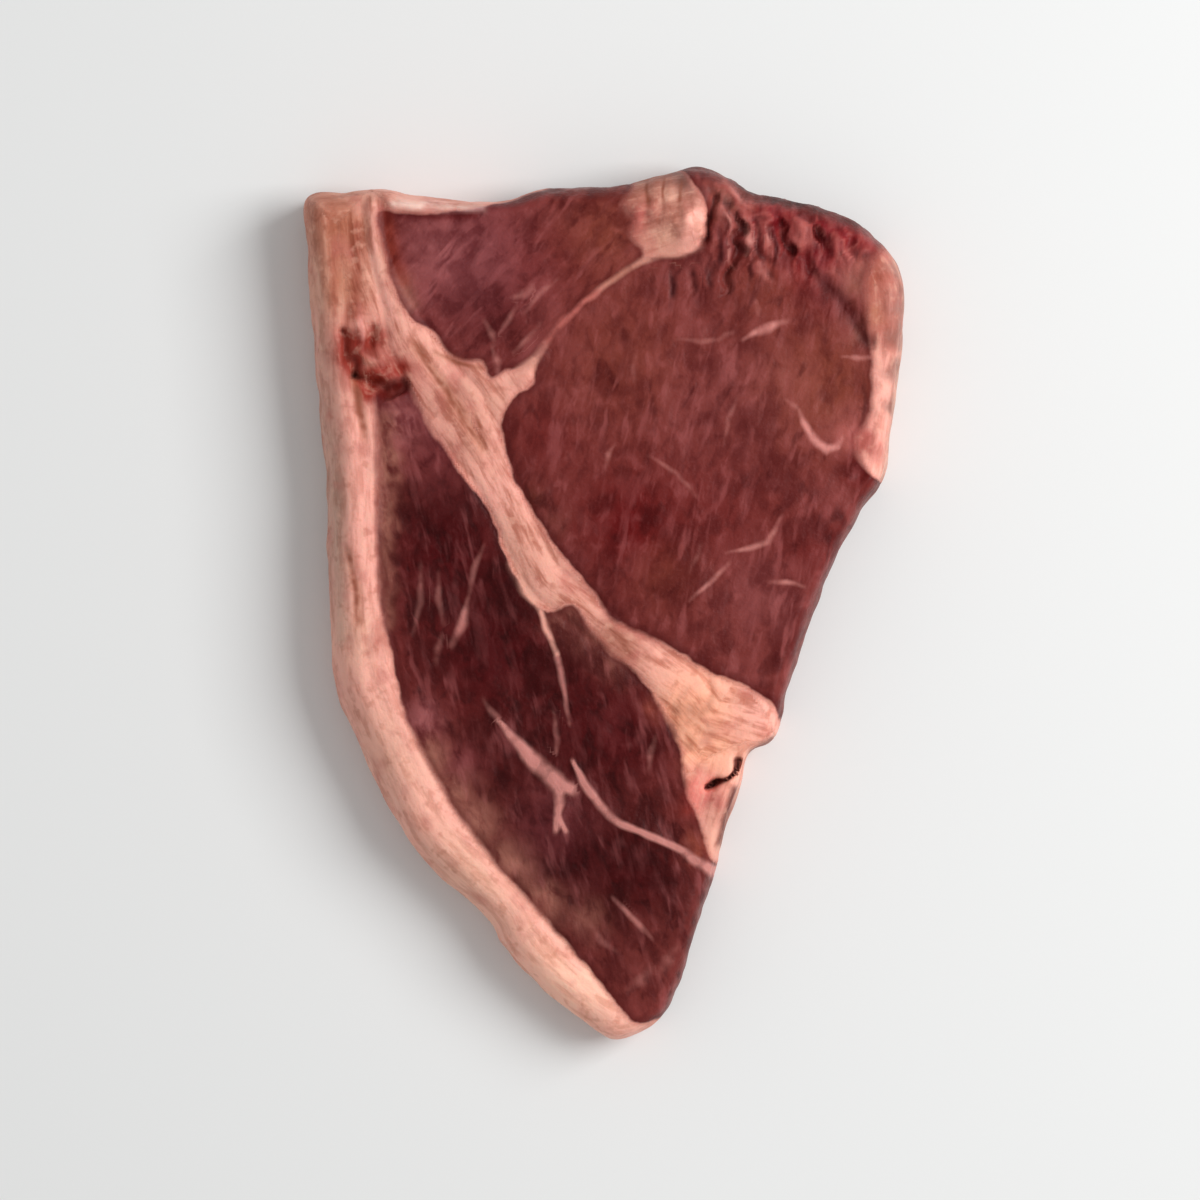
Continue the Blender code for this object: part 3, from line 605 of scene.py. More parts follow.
base = trimmed_grid(steak_mesh, outline, BASE_CELL, UNDERCUT + UNDERCUT_SWAY + 2.0)
side_edges = [e for vert in ring for e in vert.link_edges if e.is_boundary]
base_edges = [e for vert in base for e in vert.link_edges if e.is_boundary]
bmesh.ops.triangle_fill(steak_mesh, edges=list(set(side_edges + base_edges)), use_beauty=True)
bmesh.ops.recalc_face_normals(steak_mesh, faces=steak_mesh.faces)
open_edges = sum(not e.is_manifold for e in steak_mesh.edges)
longest = max(edge.calc_length() for edge in steak_mesh.edges) / MM
print("closed steak:", len(steak_mesh.faces), "faces, open edges:", open_edges)
print("longest edge in mm:", round(longest, 1))

# %% [markdown]
# ## What the mesh remembers
# Before the fine relief the mesh measures itself: how deep in the lean each vertex lies, how deep
# in a gap, how far round the side. These go to the material as attributes. Vertex colours alone
# would blur at every border, but a distance stays sharp.

# %% Measure every vertex
SWAY_SHARE = 0.25
SIDE_FROM = 0.35
SIDE_RUN = 0.5
INNER_MARGIN = 2.0
BASE_HEIGHT = 0.3
BASE_INSET = 1.5

verts = list(steak_mesh.verts)
plan = plan_points(verts)
height = np.array([vert.co.z for vert in verts]) / MM
inset, place = nearest_on_loop(plan, outline)
swayed = ragged(plan)
half_swayed = (1.0 - SWAY_SHARE) * plan + SWAY_SHARE * swayed
lean = lean_depth(half_swayed)
shoulder = read_loop(outline, place)[:, 2]
low_line = WIDEST_SHARE * thickness(plan)
full = thickness(plan)
upper = np.clip((height - low_line) / (full - low_line), 0.0, 1.0)
on_side = 1.0 - np.clip((upper - SIDE_FROM) / SIDE_RUN, 0.0, 1.0)
on_side[inset > UNDERCUT + INNER_MARGIN + shoulder] = 0.0
is_base = (height < BASE_HEIGHT) & (inset > BASE_INSET)
on_side[is_base] = 0.0
print("vertices:", len(verts), "of them on the base:", int(is_base.sum()))

# %% How deep in a gap each vertex lies
DARK_DEPTH = 4.8
LEAST_DARK = 0.3
gap_depth = np.zeros(len(verts))
for line, depth in TEARS:
    gap_depth += min(depth / DARK_DEPTH, 1.0) * beside(swayed, line)
gap_depth = np.clip(gap_depth, 0.0, 1.0) * np.clip(height / full, LEAST_DARK, 1.0)
print("deepest gap mark:", round(gap_depth.max(), 2))

# %% [markdown]
# ## Lines finer than the cells
# A line half a millimetre wide falls between the vertices, and a share that is kept on them would
# come out as a row of beads. The signed distance across the line is straight from one vertex to
# the next, so it finds the middle between them. A second value says where the line shows. The
# lines of the knot meet, and there the sign would jump, so they keep only the distance's size.
# The wide cells of the underside need the sign again.

# %% Across the thin seams and the flecks
SHOW_REACH = 1.7
SHOW_EXTRA = 0.3
FAR_ACROSS = 9.0
FLECK_WIDTH = 0.9
FLECK_BEND = 0.06
FLECK_END = 0.75
FADE_LENGTH = 2.4
FADE_LEAST = 0.35
KNOT_STRENGTH = 1.5
SPLIT_STRENGTH = 0.85


def along_line(points, line):
    """Signed distance across an open line, and the length run along it."""
    best = np.full(len(points), np.inf)
    across = np.zeros(len(points))
    run = np.zeros(len(points))
    passed = 0.0
    for start, end in zip(line[:-1], line[1:]):
        origin = np.array(start[:2])
        along = np.array(end[:2]) - origin
        length = np.linalg.norm(along)
        from_start = points - origin
        share = np.clip(from_start @ along / length ** 2, 0.0, 1.0)
        gap = np.linalg.norm(from_start - share[:, None] * along, axis=1)
        side = (along[0] * from_start[:, 1] - along[1] * from_start[:, 0]) / length
        closer = gap < best
        best[closer] = gap[closer]
        across[closer] = side[closer]
        run[closer] = passed + share[closer] * length
        passed += length
    return across, run


def fine_lines(points, lines):
    """Distance across the nearest line in half widths, how strongly it shows, and its number."""
    across = np.full(len(points), FAR_ACROSS)
    shows = np.zeros(len(points))
    number = np.zeros(len(points), dtype=int)
    for index, (line, strength, kind) in enumerate(lines):
        gap, width = line_gap(points, line)
        side, run = along_line(points, line)
        here = strength * np.exp(-(gap / (SHOW_REACH * width + SHOW_EXTRA)) ** 4)
        if kind == "knot":
            side = np.abs(side)
        elif kind != "seam":
            here *= np.clip(np.minimum(run, run.max() - run) / FADE_LENGTH, FADE_LEAST, 1.0)
        nearer = here > shows
        shows[nearer] = here[nearer]
        across[nearer] = (side / width)[nearer]
        number[nearer] = index
    return across, shows, number


def thinned(line, bend):
    """A fleck's line with thin ends, and a slightly bent middle where it has none."""
    (x0, y0, first), (x1, y1, last) = line[0], line[-1]
    middle = line[1:-1]
    if not middle:
        middle = [(0.5 * (x0 + x1) - bend * (y1 - y0), 0.5 * (y0 + y1) + bend * (x1 - x0),
                   max(first, last))]
    ends = FLECK_END * FLECK_WIDTH
    middle = [(x, y, width * FLECK_WIDTH) for x, y, width in middle]
    return [(x0, y0, first * ends)] + middle + [(x1, y1, last * ends)]


fine = [(line, 1.0, "seam") for line in THIN_SEAMS]
fine += [(line, KNOT_STRENGTH, "knot") for line in KNOT]
fine += [(thinned(line, FLECK_BEND * (-1) ** index), strength, "fleck")
         for index, (line, strength) in enumerate(FLECKS)]
fine += [(line, SPLIT_STRENGTH, "split") for line in SPLITS]
fine += [(line, strength, "crack") for line, strength in CRACKS]
fine += [(line, strength, "strand") for line, strength in STRANDS]
fine_across, fine_shows, fine_number = fine_lines(half_swayed, fine)
signed = [(line, strength, "seam" if kind == "knot" else kind) for line, strength, kind in fine]
below = fine_lines(half_swayed[is_base], signed)
for values, values_below in zip((fine_across, fine_shows, fine_number), below):
    values[is_base] = values_below
fine_kind = np.array([kind for _, _, kind in fine])[fine_number]
print("vertices beside fine lines:", int((fine_shows > 0.1).sum()))

# %% [markdown]
# ## Grain
# Lean meat has a grain: bundles of fibre that the knife cuts nearly across, but never quite, so
# each muscle is mottled with a heading of its own. Fat shows strands along its seam. Both come
# from noise that is read in a stretched frame: across the strands it runs at full length, along
# them at a part of it. That frame is kept on the mesh as a vector, so that the relief and the
# material use the same one.

# %% A stretched frame for each muscle, and for fat along its seams
HEADINGS = [(UPPER_MUSCLE, 50.0, 0.7), (EYE_MUSCLE, 78.0, 0.5), (LOWER_MUSCLES, 104.0, 0.9)]
STRETCH = 0.55
FAT_STRETCH = 0.18
FAT_HEIGHT_STRETCH = 0.5
SEAM_SHIFT = 90.0
RIND_SHIFT = 140.0
MUSCLE_SHIFT = 31.0
MUSCLE_MARGIN = 0.2
RIND_MOTTLED = 0.55
SEAM_RUN_OUT = [(24.0, -26.0, 7.0), (34.0, -29.0, 5.0)]

main_across, main_run = along_line(plan, MAIN_SEAM + SEAM_RUN_OUT)
fat_height = height * FAT_HEIGHT_STRETCH
grain = np.column_stack((main_across + SEAM_SHIFT, main_run * FAT_STRETCH, fat_height))
in_rind = inset < np.abs(main_across)
rind_frame = np.column_stack((inset + RIND_SHIFT, place * FAT_STRETCH, fat_height))
grain[in_rind] = rind_frame[in_rind]
mottled = np.where(in_rind, RIND_MOTTLED, 1.0)
for index, (edge_line, heading, contrast) in enumerate(HEADINGS):
    within = nearest_on_loop(plan, smooth_loop(edge_line, 2.0))[0] > -MUSCLE_MARGIN
    turn = math.radians(heading)
    along = plan[:, 0] * math.cos(turn) + plan[:, 1] * math.sin(turn)
    across = plan[:, 1] * math.cos(turn) - plan[:, 0] * math.sin(turn)
    own = np.column_stack((across + MUSCLE_SHIFT * index, along * STRETCH, height * STRETCH))
    grain[within] = own[within]
    mottled[within] = contrast
print("headings of the grain:", [heading for _, heading, _ in HEADINGS])


def noise_field(places, size, octaves=1):
    """Noise of one vertex after another, from minus one to one, with bumps of a given size."""
    field = np.zeros(len(places))
    for index, spot in enumerate(places / size):
        value = 0.0
        for octave in range(octaves):
            value += noise.noise(Vector(spot * 2.0 ** octave)) * 0.5 ** octave
        field[index] = value
    return field


# %% [markdown]
# ## Fine relief
# The cut face is never smooth. Lean meat has soft pebbles of a few millimetres along its grain,
# fat has waxy ridges, and the torn corner is ragged. It goes into the mesh, not only into the
# material, because it shows at the edges and in the shape itself.

# %% Slow noise for clouds and zones, kept on the mesh
SLOW_NOISES = {"clouds": (0.0, 8.0, 3), "zones": (300.0, 9.0, 2), "stains": (500.0, 5.5, 3)}

space = np.column_stack((plan, height))
slow = {name: noise_field(space + shift, size, octaves)
        for name, (shift, size, octaves) in SLOW_NOISES.items()}
for name, values in slow.items():
    print(name, "from", round(values.min(), 2), "to", round(values.max(), 2))

# %% Raise the pebbles, ridges and tatters
TORN_SPOTS = [((33.0, 85.0), 9.0), ((45.0, 83.0), 8.0), ((54.0, 80.0), 6.0), ((28.0, 90.0), 6.0)]
PEBBLE_SIZE = 2.3
LEAN_PEBBLE = 0.14
FAT_PEBBLE = 0.17
SWELL_SIZE = 7.0
SWELL_RISE = 0.24
TATTER_STRETCH = np.array((1.0, 0.40, 0.6))
TATTER_SIZE = 2.6
TATTER_TOP = 0.55
TATTER_FOLD = 2.2
TORN_RISE = 0.5
SINK = 0.10
FLAT_BELOW = 2.0

torn = np.zeros(len(verts))
for centre, reach in TORN_SPOTS:
    torn = np.maximum(torn, np.exp(-(np.linalg.norm(plan - np.array(centre), axis=1) / reach) ** 2))
pebbles = noise_field(grain, PEBBLE_SIZE, octaves=2)
swell = noise_field(space, SWELL_SIZE)
torn_places = np.column_stack((swayed, height)) * TATTER_STRETCH
tatters = TATTER_TOP - TATTER_FOLD * np.abs(noise_field(torn_places, TATTER_SIZE, octaves=2))
rise = np.where(lean > 0.0, LEAN_PEBBLE * pebbles, FAT_PEBBLE * pebbles)
rise += SWELL_RISE * swell + TORN_RISE * torn * tatters
rise -= SINK
flat_share = np.clip(height / FLAT_BELOW, 0.0, 1.0)
steak_mesh.normal_update()
for vert, lift in zip(verts, rise * flat_share):
    vert.co += vert.normal * (lift * MM)
print("fine relief from", round(rise.min(), 2), "to", round(rise.max(), 2), "mm")

# %% [markdown]
# ## The side and the underside
# The side of a steak is the outer skin of the cut: fat with shallow lengthwise dents along the
# rind, lean with soft hollows elsewhere. The underside is the other cut face, pressed flat, with
# its seams a little hollow.

# %% Dent the side and hollow the seams below
DENT_STRETCH = np.array((1.0, 1.0, 1.8))
DENT_SIZE = 9.0
DENT_RISE = 0.55
DENT_SINK = 0.35
DENT_FULL_HEIGHT = 4.0
DENT_FROM_HEIGHT = 0.6
SIDE_LEAST = 0.05
HOLLOW_DEPTH = 0.5
HOLLOW_SLOPE = 0.4
HOLLOW_SWELL = 0.12
RESTING_BAND = 3.0
RESTING_RUN = 2.0

dents = noise_field(space * DENT_STRETCH, DENT_SIZE, octaves=2)
side_verts = (on_side > SIDE_LEAST) & (height > DENT_FROM_HEIGHT)
for index in np.nonzero(side_verts)[0]:
    share = on_side[index] * min(height[index] / DENT_FULL_HEIGHT, 1.0)
    lift = (DENT_RISE * dents[index] - DENT_SINK) * share
    verts[index].co += verts[index].normal * (lift * MM)
hollow = np.clip(HOLLOW_DEPTH - HOLLOW_SLOPE * np.abs(lean), 0.0, HOLLOW_DEPTH)
hollow += HOLLOW_SWELL * (1.0 + swell)
hollow *= np.clip((inset - RESTING_BAND) / RESTING_RUN, 0.0, 1.0)
for index in np.nonzero(is_base)[0]:
    verts[index].co.z = hollow[index] * MM
print("dented:", int(side_verts.sum()), "vertices of the side")

# %% [markdown]
# ## Fit it to the solid
# The steak's box has its middle over the origin. The dressed mesh is kept inside the solid's
# box, so its own box is fitted to that one. The change is far below a millimetre.

# %% Scale the mesh into the solid's box
def mesh_box(mesh):
    """Lowest and highest corner of a mesh."""
    spots = np.array([vert.co[:] for vert in mesh.verts])
    return spots.min(axis=0), spots.max(axis=0)


low, high = mesh_box(steak_mesh)
fit = np.minimum((np.array(solid_high) - np.array(solid_low)) / (high - low), 1.0)
middle = 0.5 * (low + high)
bmesh.ops.translate(steak_mesh, verts=steak_mesh.verts, vec=(-middle[0], -middle[1], -low[2]))
bmesh.ops.scale(steak_mesh, verts=steak_mesh.verts, vec=fit)
centre = 0.5 * (np.array(solid_low) + np.array(solid_high))
bmesh.ops.translate(steak_mesh, verts=steak_mesh.verts, vec=(centre[0], centre[1], solid_low[2]))
print("fitted by", fit.round(4))

# %% [markdown]
# ## Colours
# Raw beef isn't one red. The eye is a dull brown red, the lower muscles are darker and wetter,
# and the fat runs from pink to peach and tan. A few soft dabs of named colours are laid over the
# steak, as a painter would lay them. Some of them are painted light and shade: a sheen on the wet
# muscles, highlights on the fat lump, shade on the right side wall and lighter fat where the rind
# faces away from the light. Values are what the eye sees on a screen, so they are turned into the
# linear light that Blender computes with.

# %% Palette of lean and fat
def screen_colour(red, green, blue):
    """Linear colour of a screen colour given in 0 to 255."""
    shade = np.array((red, green, blue)) / 255.0
    return np.where(shade <= 0.04045, shade / 12.92, ((shade + 0.055) / 1.055) ** 2.4)


EYE_RED = screen_colour(117, 47, 43)
EYE_OLIVE = screen_colour(130, 60, 46)
BLOOD_RED = screen_colour(100, 12, 14)
WET_RED = screen_colour(75, 6, 10)
DARK_RED = screen_colour(56, 0, 2)
DEEP_RED = screen_colour(46, 0, 4)
STAIN_RED = screen_colour(150, 50, 40)
MAROON = screen_colour(140, 52, 40)
CRIMSON = screen_colour(132, 16, 28)
SALMON = screen_colour(232, 134, 122)
SPLIT_BROWN = screen_colour(146, 78, 58)
STRAND_PINK = screen_colour(206, 132, 122)
RIM_BROWN = screen_colour(74, 26, 22)
TAN_RED = screen_colour(158, 98, 84)
PURPLE_RED = screen_colour(124, 56, 60)
MAUVE = screen_colour(152, 84, 84)
PINK_FAT = screen_colour(240, 169, 154)
PALE_FAT = screen_colour(234, 178, 156)
PEACH_FAT = screen_colour(250, 176, 146)
SEAM_FAT = screen_colour(216, 151, 133)
DULL_FAT = screen_colour(178, 114, 98)
BROWN_FAT = screen_colour(188, 120, 94)
RUST_FAT = screen_colour(164, 80, 62)
STRIP_FAT = screen_colour(186, 109, 96)
GREY_SKIN_SHADE = screen_colour(186, 146, 130)
WALL_GREY = screen_colour(120, 82, 76)
WALL_FAT = screen_colour(158, 108, 98)
KNOB_SHADOW_BROWN = screen_colour(112, 60, 54)
RAW_PINK = screen_colour(186, 100, 92)
KNOT_PINK = screen_colour(196, 128, 120)
FLECK_PINK = screen_colour(214, 138, 130)
WHITE_LIP = screen_colour(244, 208, 196)
BAND_BROWN = screen_colour(122, 46, 34)
GAP_BLOOD_SHADE = screen_colour(84, 14, 14)
GAP_DEEP_SHADE = screen_colour(30, 5, 6)


def painted(values, value, share):
    """Values with another laid over them, by a share for each point."""
    return values * (1.0 - share[:, None]) + value * share[:, None]


def lay_dabs(points, ground, dabs):
    """Values at points: a ground, with soft dabs of x, y, reach, value, strength over it."""
    values = np.tile(ground, (len(points), 1))
    for x, y, reach, value, strength in dabs:
        distance = np.hypot(points[:, 0] - x, points[:, 1] - y)
        share = np.minimum(strength * np.exp(-(distance / reach) ** 2), 1.0)
        values = painted(values, value, share)
    return values


LEAN_DABS = [
    # The PURPLE_RED and MAUVE dabs round (-30, 78) and (-40, 82) are partly the upper muscle's colour and
    # partly a painted sheen on its wet surface.
    (-30.0, 78.0, 16.0, PURPLE_RED, 1.0), (-31.0, 78.0, 9.0, MAUVE, 0.35),
    (-40.0, 82.0, 9.0, MAUVE, 0.55),
    (-8.0, 84.0, 14.0, EYE_RED, 0.5), (0.0, 84.0, 9.0, EYE_OLIVE, 0.8),
    (-26.0, 64.0, 9.0, WET_RED, 0.6), (-14.0, 76.0, 8.0, BLOOD_RED, 0.25),
    (49.0, 50.0, 14.0, EYE_OLIVE, 1.0), (6.0, 18.0, 12.0, BLOOD_RED, 0.95),
    (26.0, 20.0, 12.0, BLOOD_RED, 0.35), (14.0, 6.0, 7.0, EYE_OLIVE, 0.5),
    (-14.0, 38.0, 7.0, BLOOD_RED, 0.45),
    (4.0, 56.0, 14.0, EYE_OLIVE, 0.5), (30.0, 48.0, 14.0, MAUVE, 0.15),
    (36.0, 2.0, 9.0, MAUVE, 0.25), (47.0, 12.0, 8.0, BLOOD_RED, 0.4),
    (-17.0, 24.0, 3.0, EYE_OLIVE * 0.6, 0.8), (-12.0, 18.0, 3.5, EYE_OLIVE * 0.7, 0.7),
    (-36.0, 12.0, 20.0, WET_RED, 1.0), (-25.0, -12.0, 22.0, WET_RED, 1.0),
    (-40.0, 22.0, 9.0, DARK_RED, 0.6), (-10.0, -26.0, 18.0, DARK_RED, 0.8),
    (-31.0, 22.0, 6.0, DARK_RED, 0.8), (-22.0, 4.0, 8.0, DARK_RED, 0.7),
    (-40.0, 2.0, 8.0, DARK_RED, 0.5), (-24.0, -6.0, 7.0, DARK_RED, 0.5),
    (4.0, -30.0, 16.0, WET_RED, 0.9), (-10.0, -56.0, 20.0, DARK_RED, 1.0),
    (6.0, -64.0, 16.0, DARK_RED, 1.0), (8.0, -80.0, 12.0, EYE_RED * 0.8, 0.9),
    (-24.0, -38.0, 9.0, DARK_RED, 0.6), (-13.0, -50.0, 8.0, PURPLE_RED, 0.35),
    # The PURPLE_RED dab at (-38, 36) and the MAUVE dab at (-46.5, 41.5) are a painted sheen on the wet top
    # of the lower muscles.
    (10.0, -62.0, 8.0, WET_RED, 0.5), (-38.0, 36.0, 8.0, PURPLE_RED, 0.5),
    (-46.5, 41.5, 5.5, MAUVE, 1.0), (-50.0, 40.0, 3.0, TAN_RED, 0.9), (-50.5, 31.0, 3.2, TAN_RED, 1.2),
    (-50.6, 25.0, 3.0, TAN_RED, 1.2), (-50.4, 18.0, 2.6, TAN_RED, 0.9), (-50.0, 5.0, 2.4, TAN_RED, 0.6),
    (-9.0, -2.5, 4.0, TAN_RED, 0.8), (-3.0, -8.0, 3.5, TAN_RED, 0.7), (3.0, -13.5, 3.5, TAN_RED, 0.5),
    (-40.5, -35.0, 4.5, TAN_RED * 0.92, 1.1), (-35.5, -42.5, 4.4, TAN_RED * 0.92, 1.1),
    (-30.0, -50.0, 4.6, TAN_RED * 0.92, 1.1), (-22.4, -60.0, 4.6, TAN_RED * 0.92, 1.1),
    (-15.0, -68.5, 4.4, TAN_RED, 1.1), (-41.5, -26.5, 4.0, MAUVE, 0.9),
    (-33.0, -36.0, 4.0, PURPLE_RED, 0.5), (-4.0, -72.0, 4.0, TAN_RED, 0.4),
    (33.0, 84.0, 9.0, BLOOD_RED, 0.5), (50.0, 82.0, 11.0, CRIMSON, 1.0), (37.0, 87.0, 5.0, CRIMSON, 0.8),
    (44.8, 84.0, 2.8, RAW_PINK, 0.9), (48.9, 82.8, 2.4, DARK_RED, 0.7),
    (28.0, 92.0, 5.0, TAN_RED, 0.5),
    (36.0, 72.0, 8.0, EYE_OLIVE, 0.5), (57.0, 74.0, 5.0, TAN_RED, 0.7),
    (58.0, 62.0, 3.0, TAN_RED, 0.5), (56.5, 38.0, 4.0, RAW_PINK, 0.8), (58.5, 31.0, 4.5, BLOOD_RED, 0.7),
    (20.5, -46.0, 3.0, STAIN_RED, 0.9), (22.5, -55.0, 3.5, RUST_FAT, 0.8),
    (21.0, -36.0, 3.5, RUST_FAT, 0.5), (12.0, -24.0, 3.0, RUST_FAT, 0.4),
]
FAT_DABS = [
    (-62.0, 86.0, 12.0, BROWN_FAT, 1.0), (-61.0, 72.0, 9.0, BROWN_FAT, 0.9),
    (-63.0, 88.0, 5.0, RUST_FAT, 0.5), (-56.5, 80.0, 4.0, RUST_FAT, 0.6),
    (-50.0, 78.0, 6.0, PALE_FAT, 0.7), (-44.0, 60.0, 8.0, SEAM_FAT, 0.5),
    (-35.0, 46.0, 8.0, DULL_FAT, 0.7), (-31.0, 36.5, 5.0, DULL_FAT, 0.8),
    (-26.0, 46.0, 7.0, SEAM_FAT, 0.8), (-27.0, 34.0, 7.0, SEAM_FAT, 0.5),
    (-18.0, 12.0, 12.0, SEAM_FAT, 0.9), (-8.0, 0.0, 8.0, SEAM_FAT, 0.9),
    (3.0, -9.0, 7.0, DULL_FAT, 1.4), (22.0, -27.0, 13.0, PEACH_FAT, 1.2),
    (21.5, -33.5, 4.5, PEACH_FAT * 1.1, 0.9), (19.6, -25.0, 2.0, BROWN_FAT, 0.7),
    (22.6, -23.0, 1.8, BROWN_FAT, 0.5), (23.6, -29.0, 2.0, BROWN_FAT, 0.6),
    (19.0, -31.5, 1.7, BROWN_FAT, 0.5), (16.0, -26.0, 4.0, BROWN_FAT, 0.4),
    (34.0, -25.0, 7.0, PINK_FAT, 0.8),
    (21.5, -42.5, 4.0, SALMON, 1.3), (24.0, -45.5, 3.0, RAW_PINK, 0.9), (24.5, -49.0, 2.6, SEAM_FAT, 0.8),
    (24.5, -55.0, 4.0, SEAM_FAT, 0.8),
    (11.0, 95.0, 7.0, WALL_FAT * 0.9, 2.0), (17.5, 95.5, 4.0, WALL_FAT, 1.2),
    (12.0, 89.0, 8.0, DULL_FAT * 0.94, 2.2), (18.0, 98.0, 4.0, WALL_GREY, 1.0),
    # The PINK_FAT dabs at (20.9, 88) and (18.5, 83.5) are painted highlights on the fat lump's right side.
    # The PALE_FAT dabs at (13.3, 83.2) and (9, 82) are partly its paler lower lip and partly painted
    # highlight.
    (8.0, 88.0, 3.5, RAW_PINK, 0.9), (20.9, 88.0, 2.2, PINK_FAT * 1.1, 1.8),
    (18.5, 83.5, 2.2, PINK_FAT, 1.0),
    (13.3, 83.2, 2.2, PALE_FAT, 0.7), (9.0, 82.0, 2.2, PALE_FAT, 0.5), (15.0, 92.5, 1.8, PALE_FAT, 0.5),
    (62.5, 78.0, 7.0, STRIP_FAT, 2.5), (62.5, 66.0, 7.0, STRIP_FAT, 2.5), (61.4, 74.0, 3.0, RUST_FAT, 0.6),
    (61.0, 66.0, 2.6, BROWN_FAT, 0.7), (61.2, 55.0, 3.4, PINK_FAT, 0.9), (61.6, 46.0, 3.4, PINK_FAT, 0.8),
    # The WALL_FAT dabs near x 67 are painted shade on the side wall beside the right strip.
    (58.0, 37.0, 4.0, RAW_PINK, 1.2), (67.8, 77.0, 3.4, WALL_FAT, 1.6), (68.0, 69.0, 3.4, WALL_FAT, 1.6),
    (67.8, 61.0, 3.2, WALL_FAT, 1.6), (66.8, 53.0, 3.0, WALL_FAT, 1.4), (66.2, 45.0, 2.8, WALL_FAT, 1.2),
    (-16.0, -36.0, 9.0, RAW_PINK * 1.2, 1.1), (-9.8, -41.0, 3.0, FLECK_PINK, 1.0),
    (-11.0, -48.0, 4.0, RAW_PINK * 1.1, 1.0),
    (-3.0, -45.0, 8.0, SEAM_FAT, 1.2), (8.0, -52.0, 7.0, DULL_FAT, 1.2),
    (18.0, -57.0, 7.0, SEAM_FAT, 1.0), (-8.0, 66.0, 10.0, RAW_PINK, 1.6),
    (3.0, 76.0, 6.0, DULL_FAT, 1.2), (14.0, 78.5, 4.0, SEAM_FAT, 1.0),
    (-17.0, 54.0, 3.5, SEAM_FAT, 0.8), (-48.0, 52.0, 5.0, STAIN_RED, 1.2),
    (-57.8, 57.0, 5.0, STAIN_RED, 1.5), (-53.0, 60.0, 3.8, STAIN_RED, 1.0),
    (-53.5, 49.5, 4.4, STAIN_RED, 1.6), (-57.0, 66.0, 2.6, RUST_FAT, 0.8),
    (-55.4, 63.0, 1.6, PINK_FAT, 1.2), (-54.0, 55.0, 1.4, SEAM_FAT, 0.7),
    # The brighter copies PALE_FAT * 1.1 and PALE_FAT * 1.22 are painted light that lifts the rind where it
    # faces away from the light.
    (-46.0, -33.0, 14.0, PALE_FAT, 0.7), (-30.0, -62.0, 16.0, PALE_FAT * 1.1, 0.9),
    (-8.0, -86.0, 16.0, PALE_FAT * 1.22, 1.0), (-56.0, -8.0, 7.0, PALE_FAT * 1.1, 0.7),
]
lean_colour = lay_dabs(swayed, EYE_RED, LEAN_DABS)
fat_colour = lay_dabs(swayed, PINK_FAT, FAT_DABS)
print("dabs:", len(LEAN_DABS), "on the lean,", len(FAT_DABS), "on the fat")

# %% How soft the border is: half width of the passage from fat to lean
BORDER_SOFTNESS = 0.35
SOFT_DABS = [
    (6.0, 88.0, 7.0, 2.0, 1.0), (-15.0, -38.0, 8.0, 1.0, 1.2), (14.0, -27.0, 5.0, 1.3, 0.9),
    (6.0, -51.0, 12.0, 0.8, 1.0), (-8.0, 66.0, 12.0, 0.9, 1.2),
    (20.0, -40.0, 4.0, 1.3, 0.8), (-40.0, -35.0, 9.0, 1.2, 1.0), (-28.0, -52.0, 9.0, 1.0, 0.9),
    (-12.0, -70.0, 9.0, 0.9, 0.8), (-51.0, 32.0, 12.0, 1.6, 1.2), (-51.0, 8.0, 12.0, 1.2, 0.9),
    (60.0, 70.0, 7.0, 1.8, 1.2), (64.0, 81.0, 7.0, 2.2, 1.2),
    (60.0, 50.0, 7.0, 0.9, 0.9), (58.0, 36.0, 5.0, 1.8, 1.2), (-32.0, 55.0, 7.0, 0.9, 0.7),
    (0.0, -8.0, 9.0, 1.1, 0.8), (-46.0, 50.0, 5.0, 1.4, 0.8), (-50.5, 80.0, 6.0, 1.0, 0.9),
    (20.0, 84.0, 4.0, 0.8, 0.8),
]
softness = lay_dabs(plan, np.array([BORDER_SOFTNESS]), SOFT_DABS)[:, 0]
print("softest border:", round(softness.max(), 1), "mm")
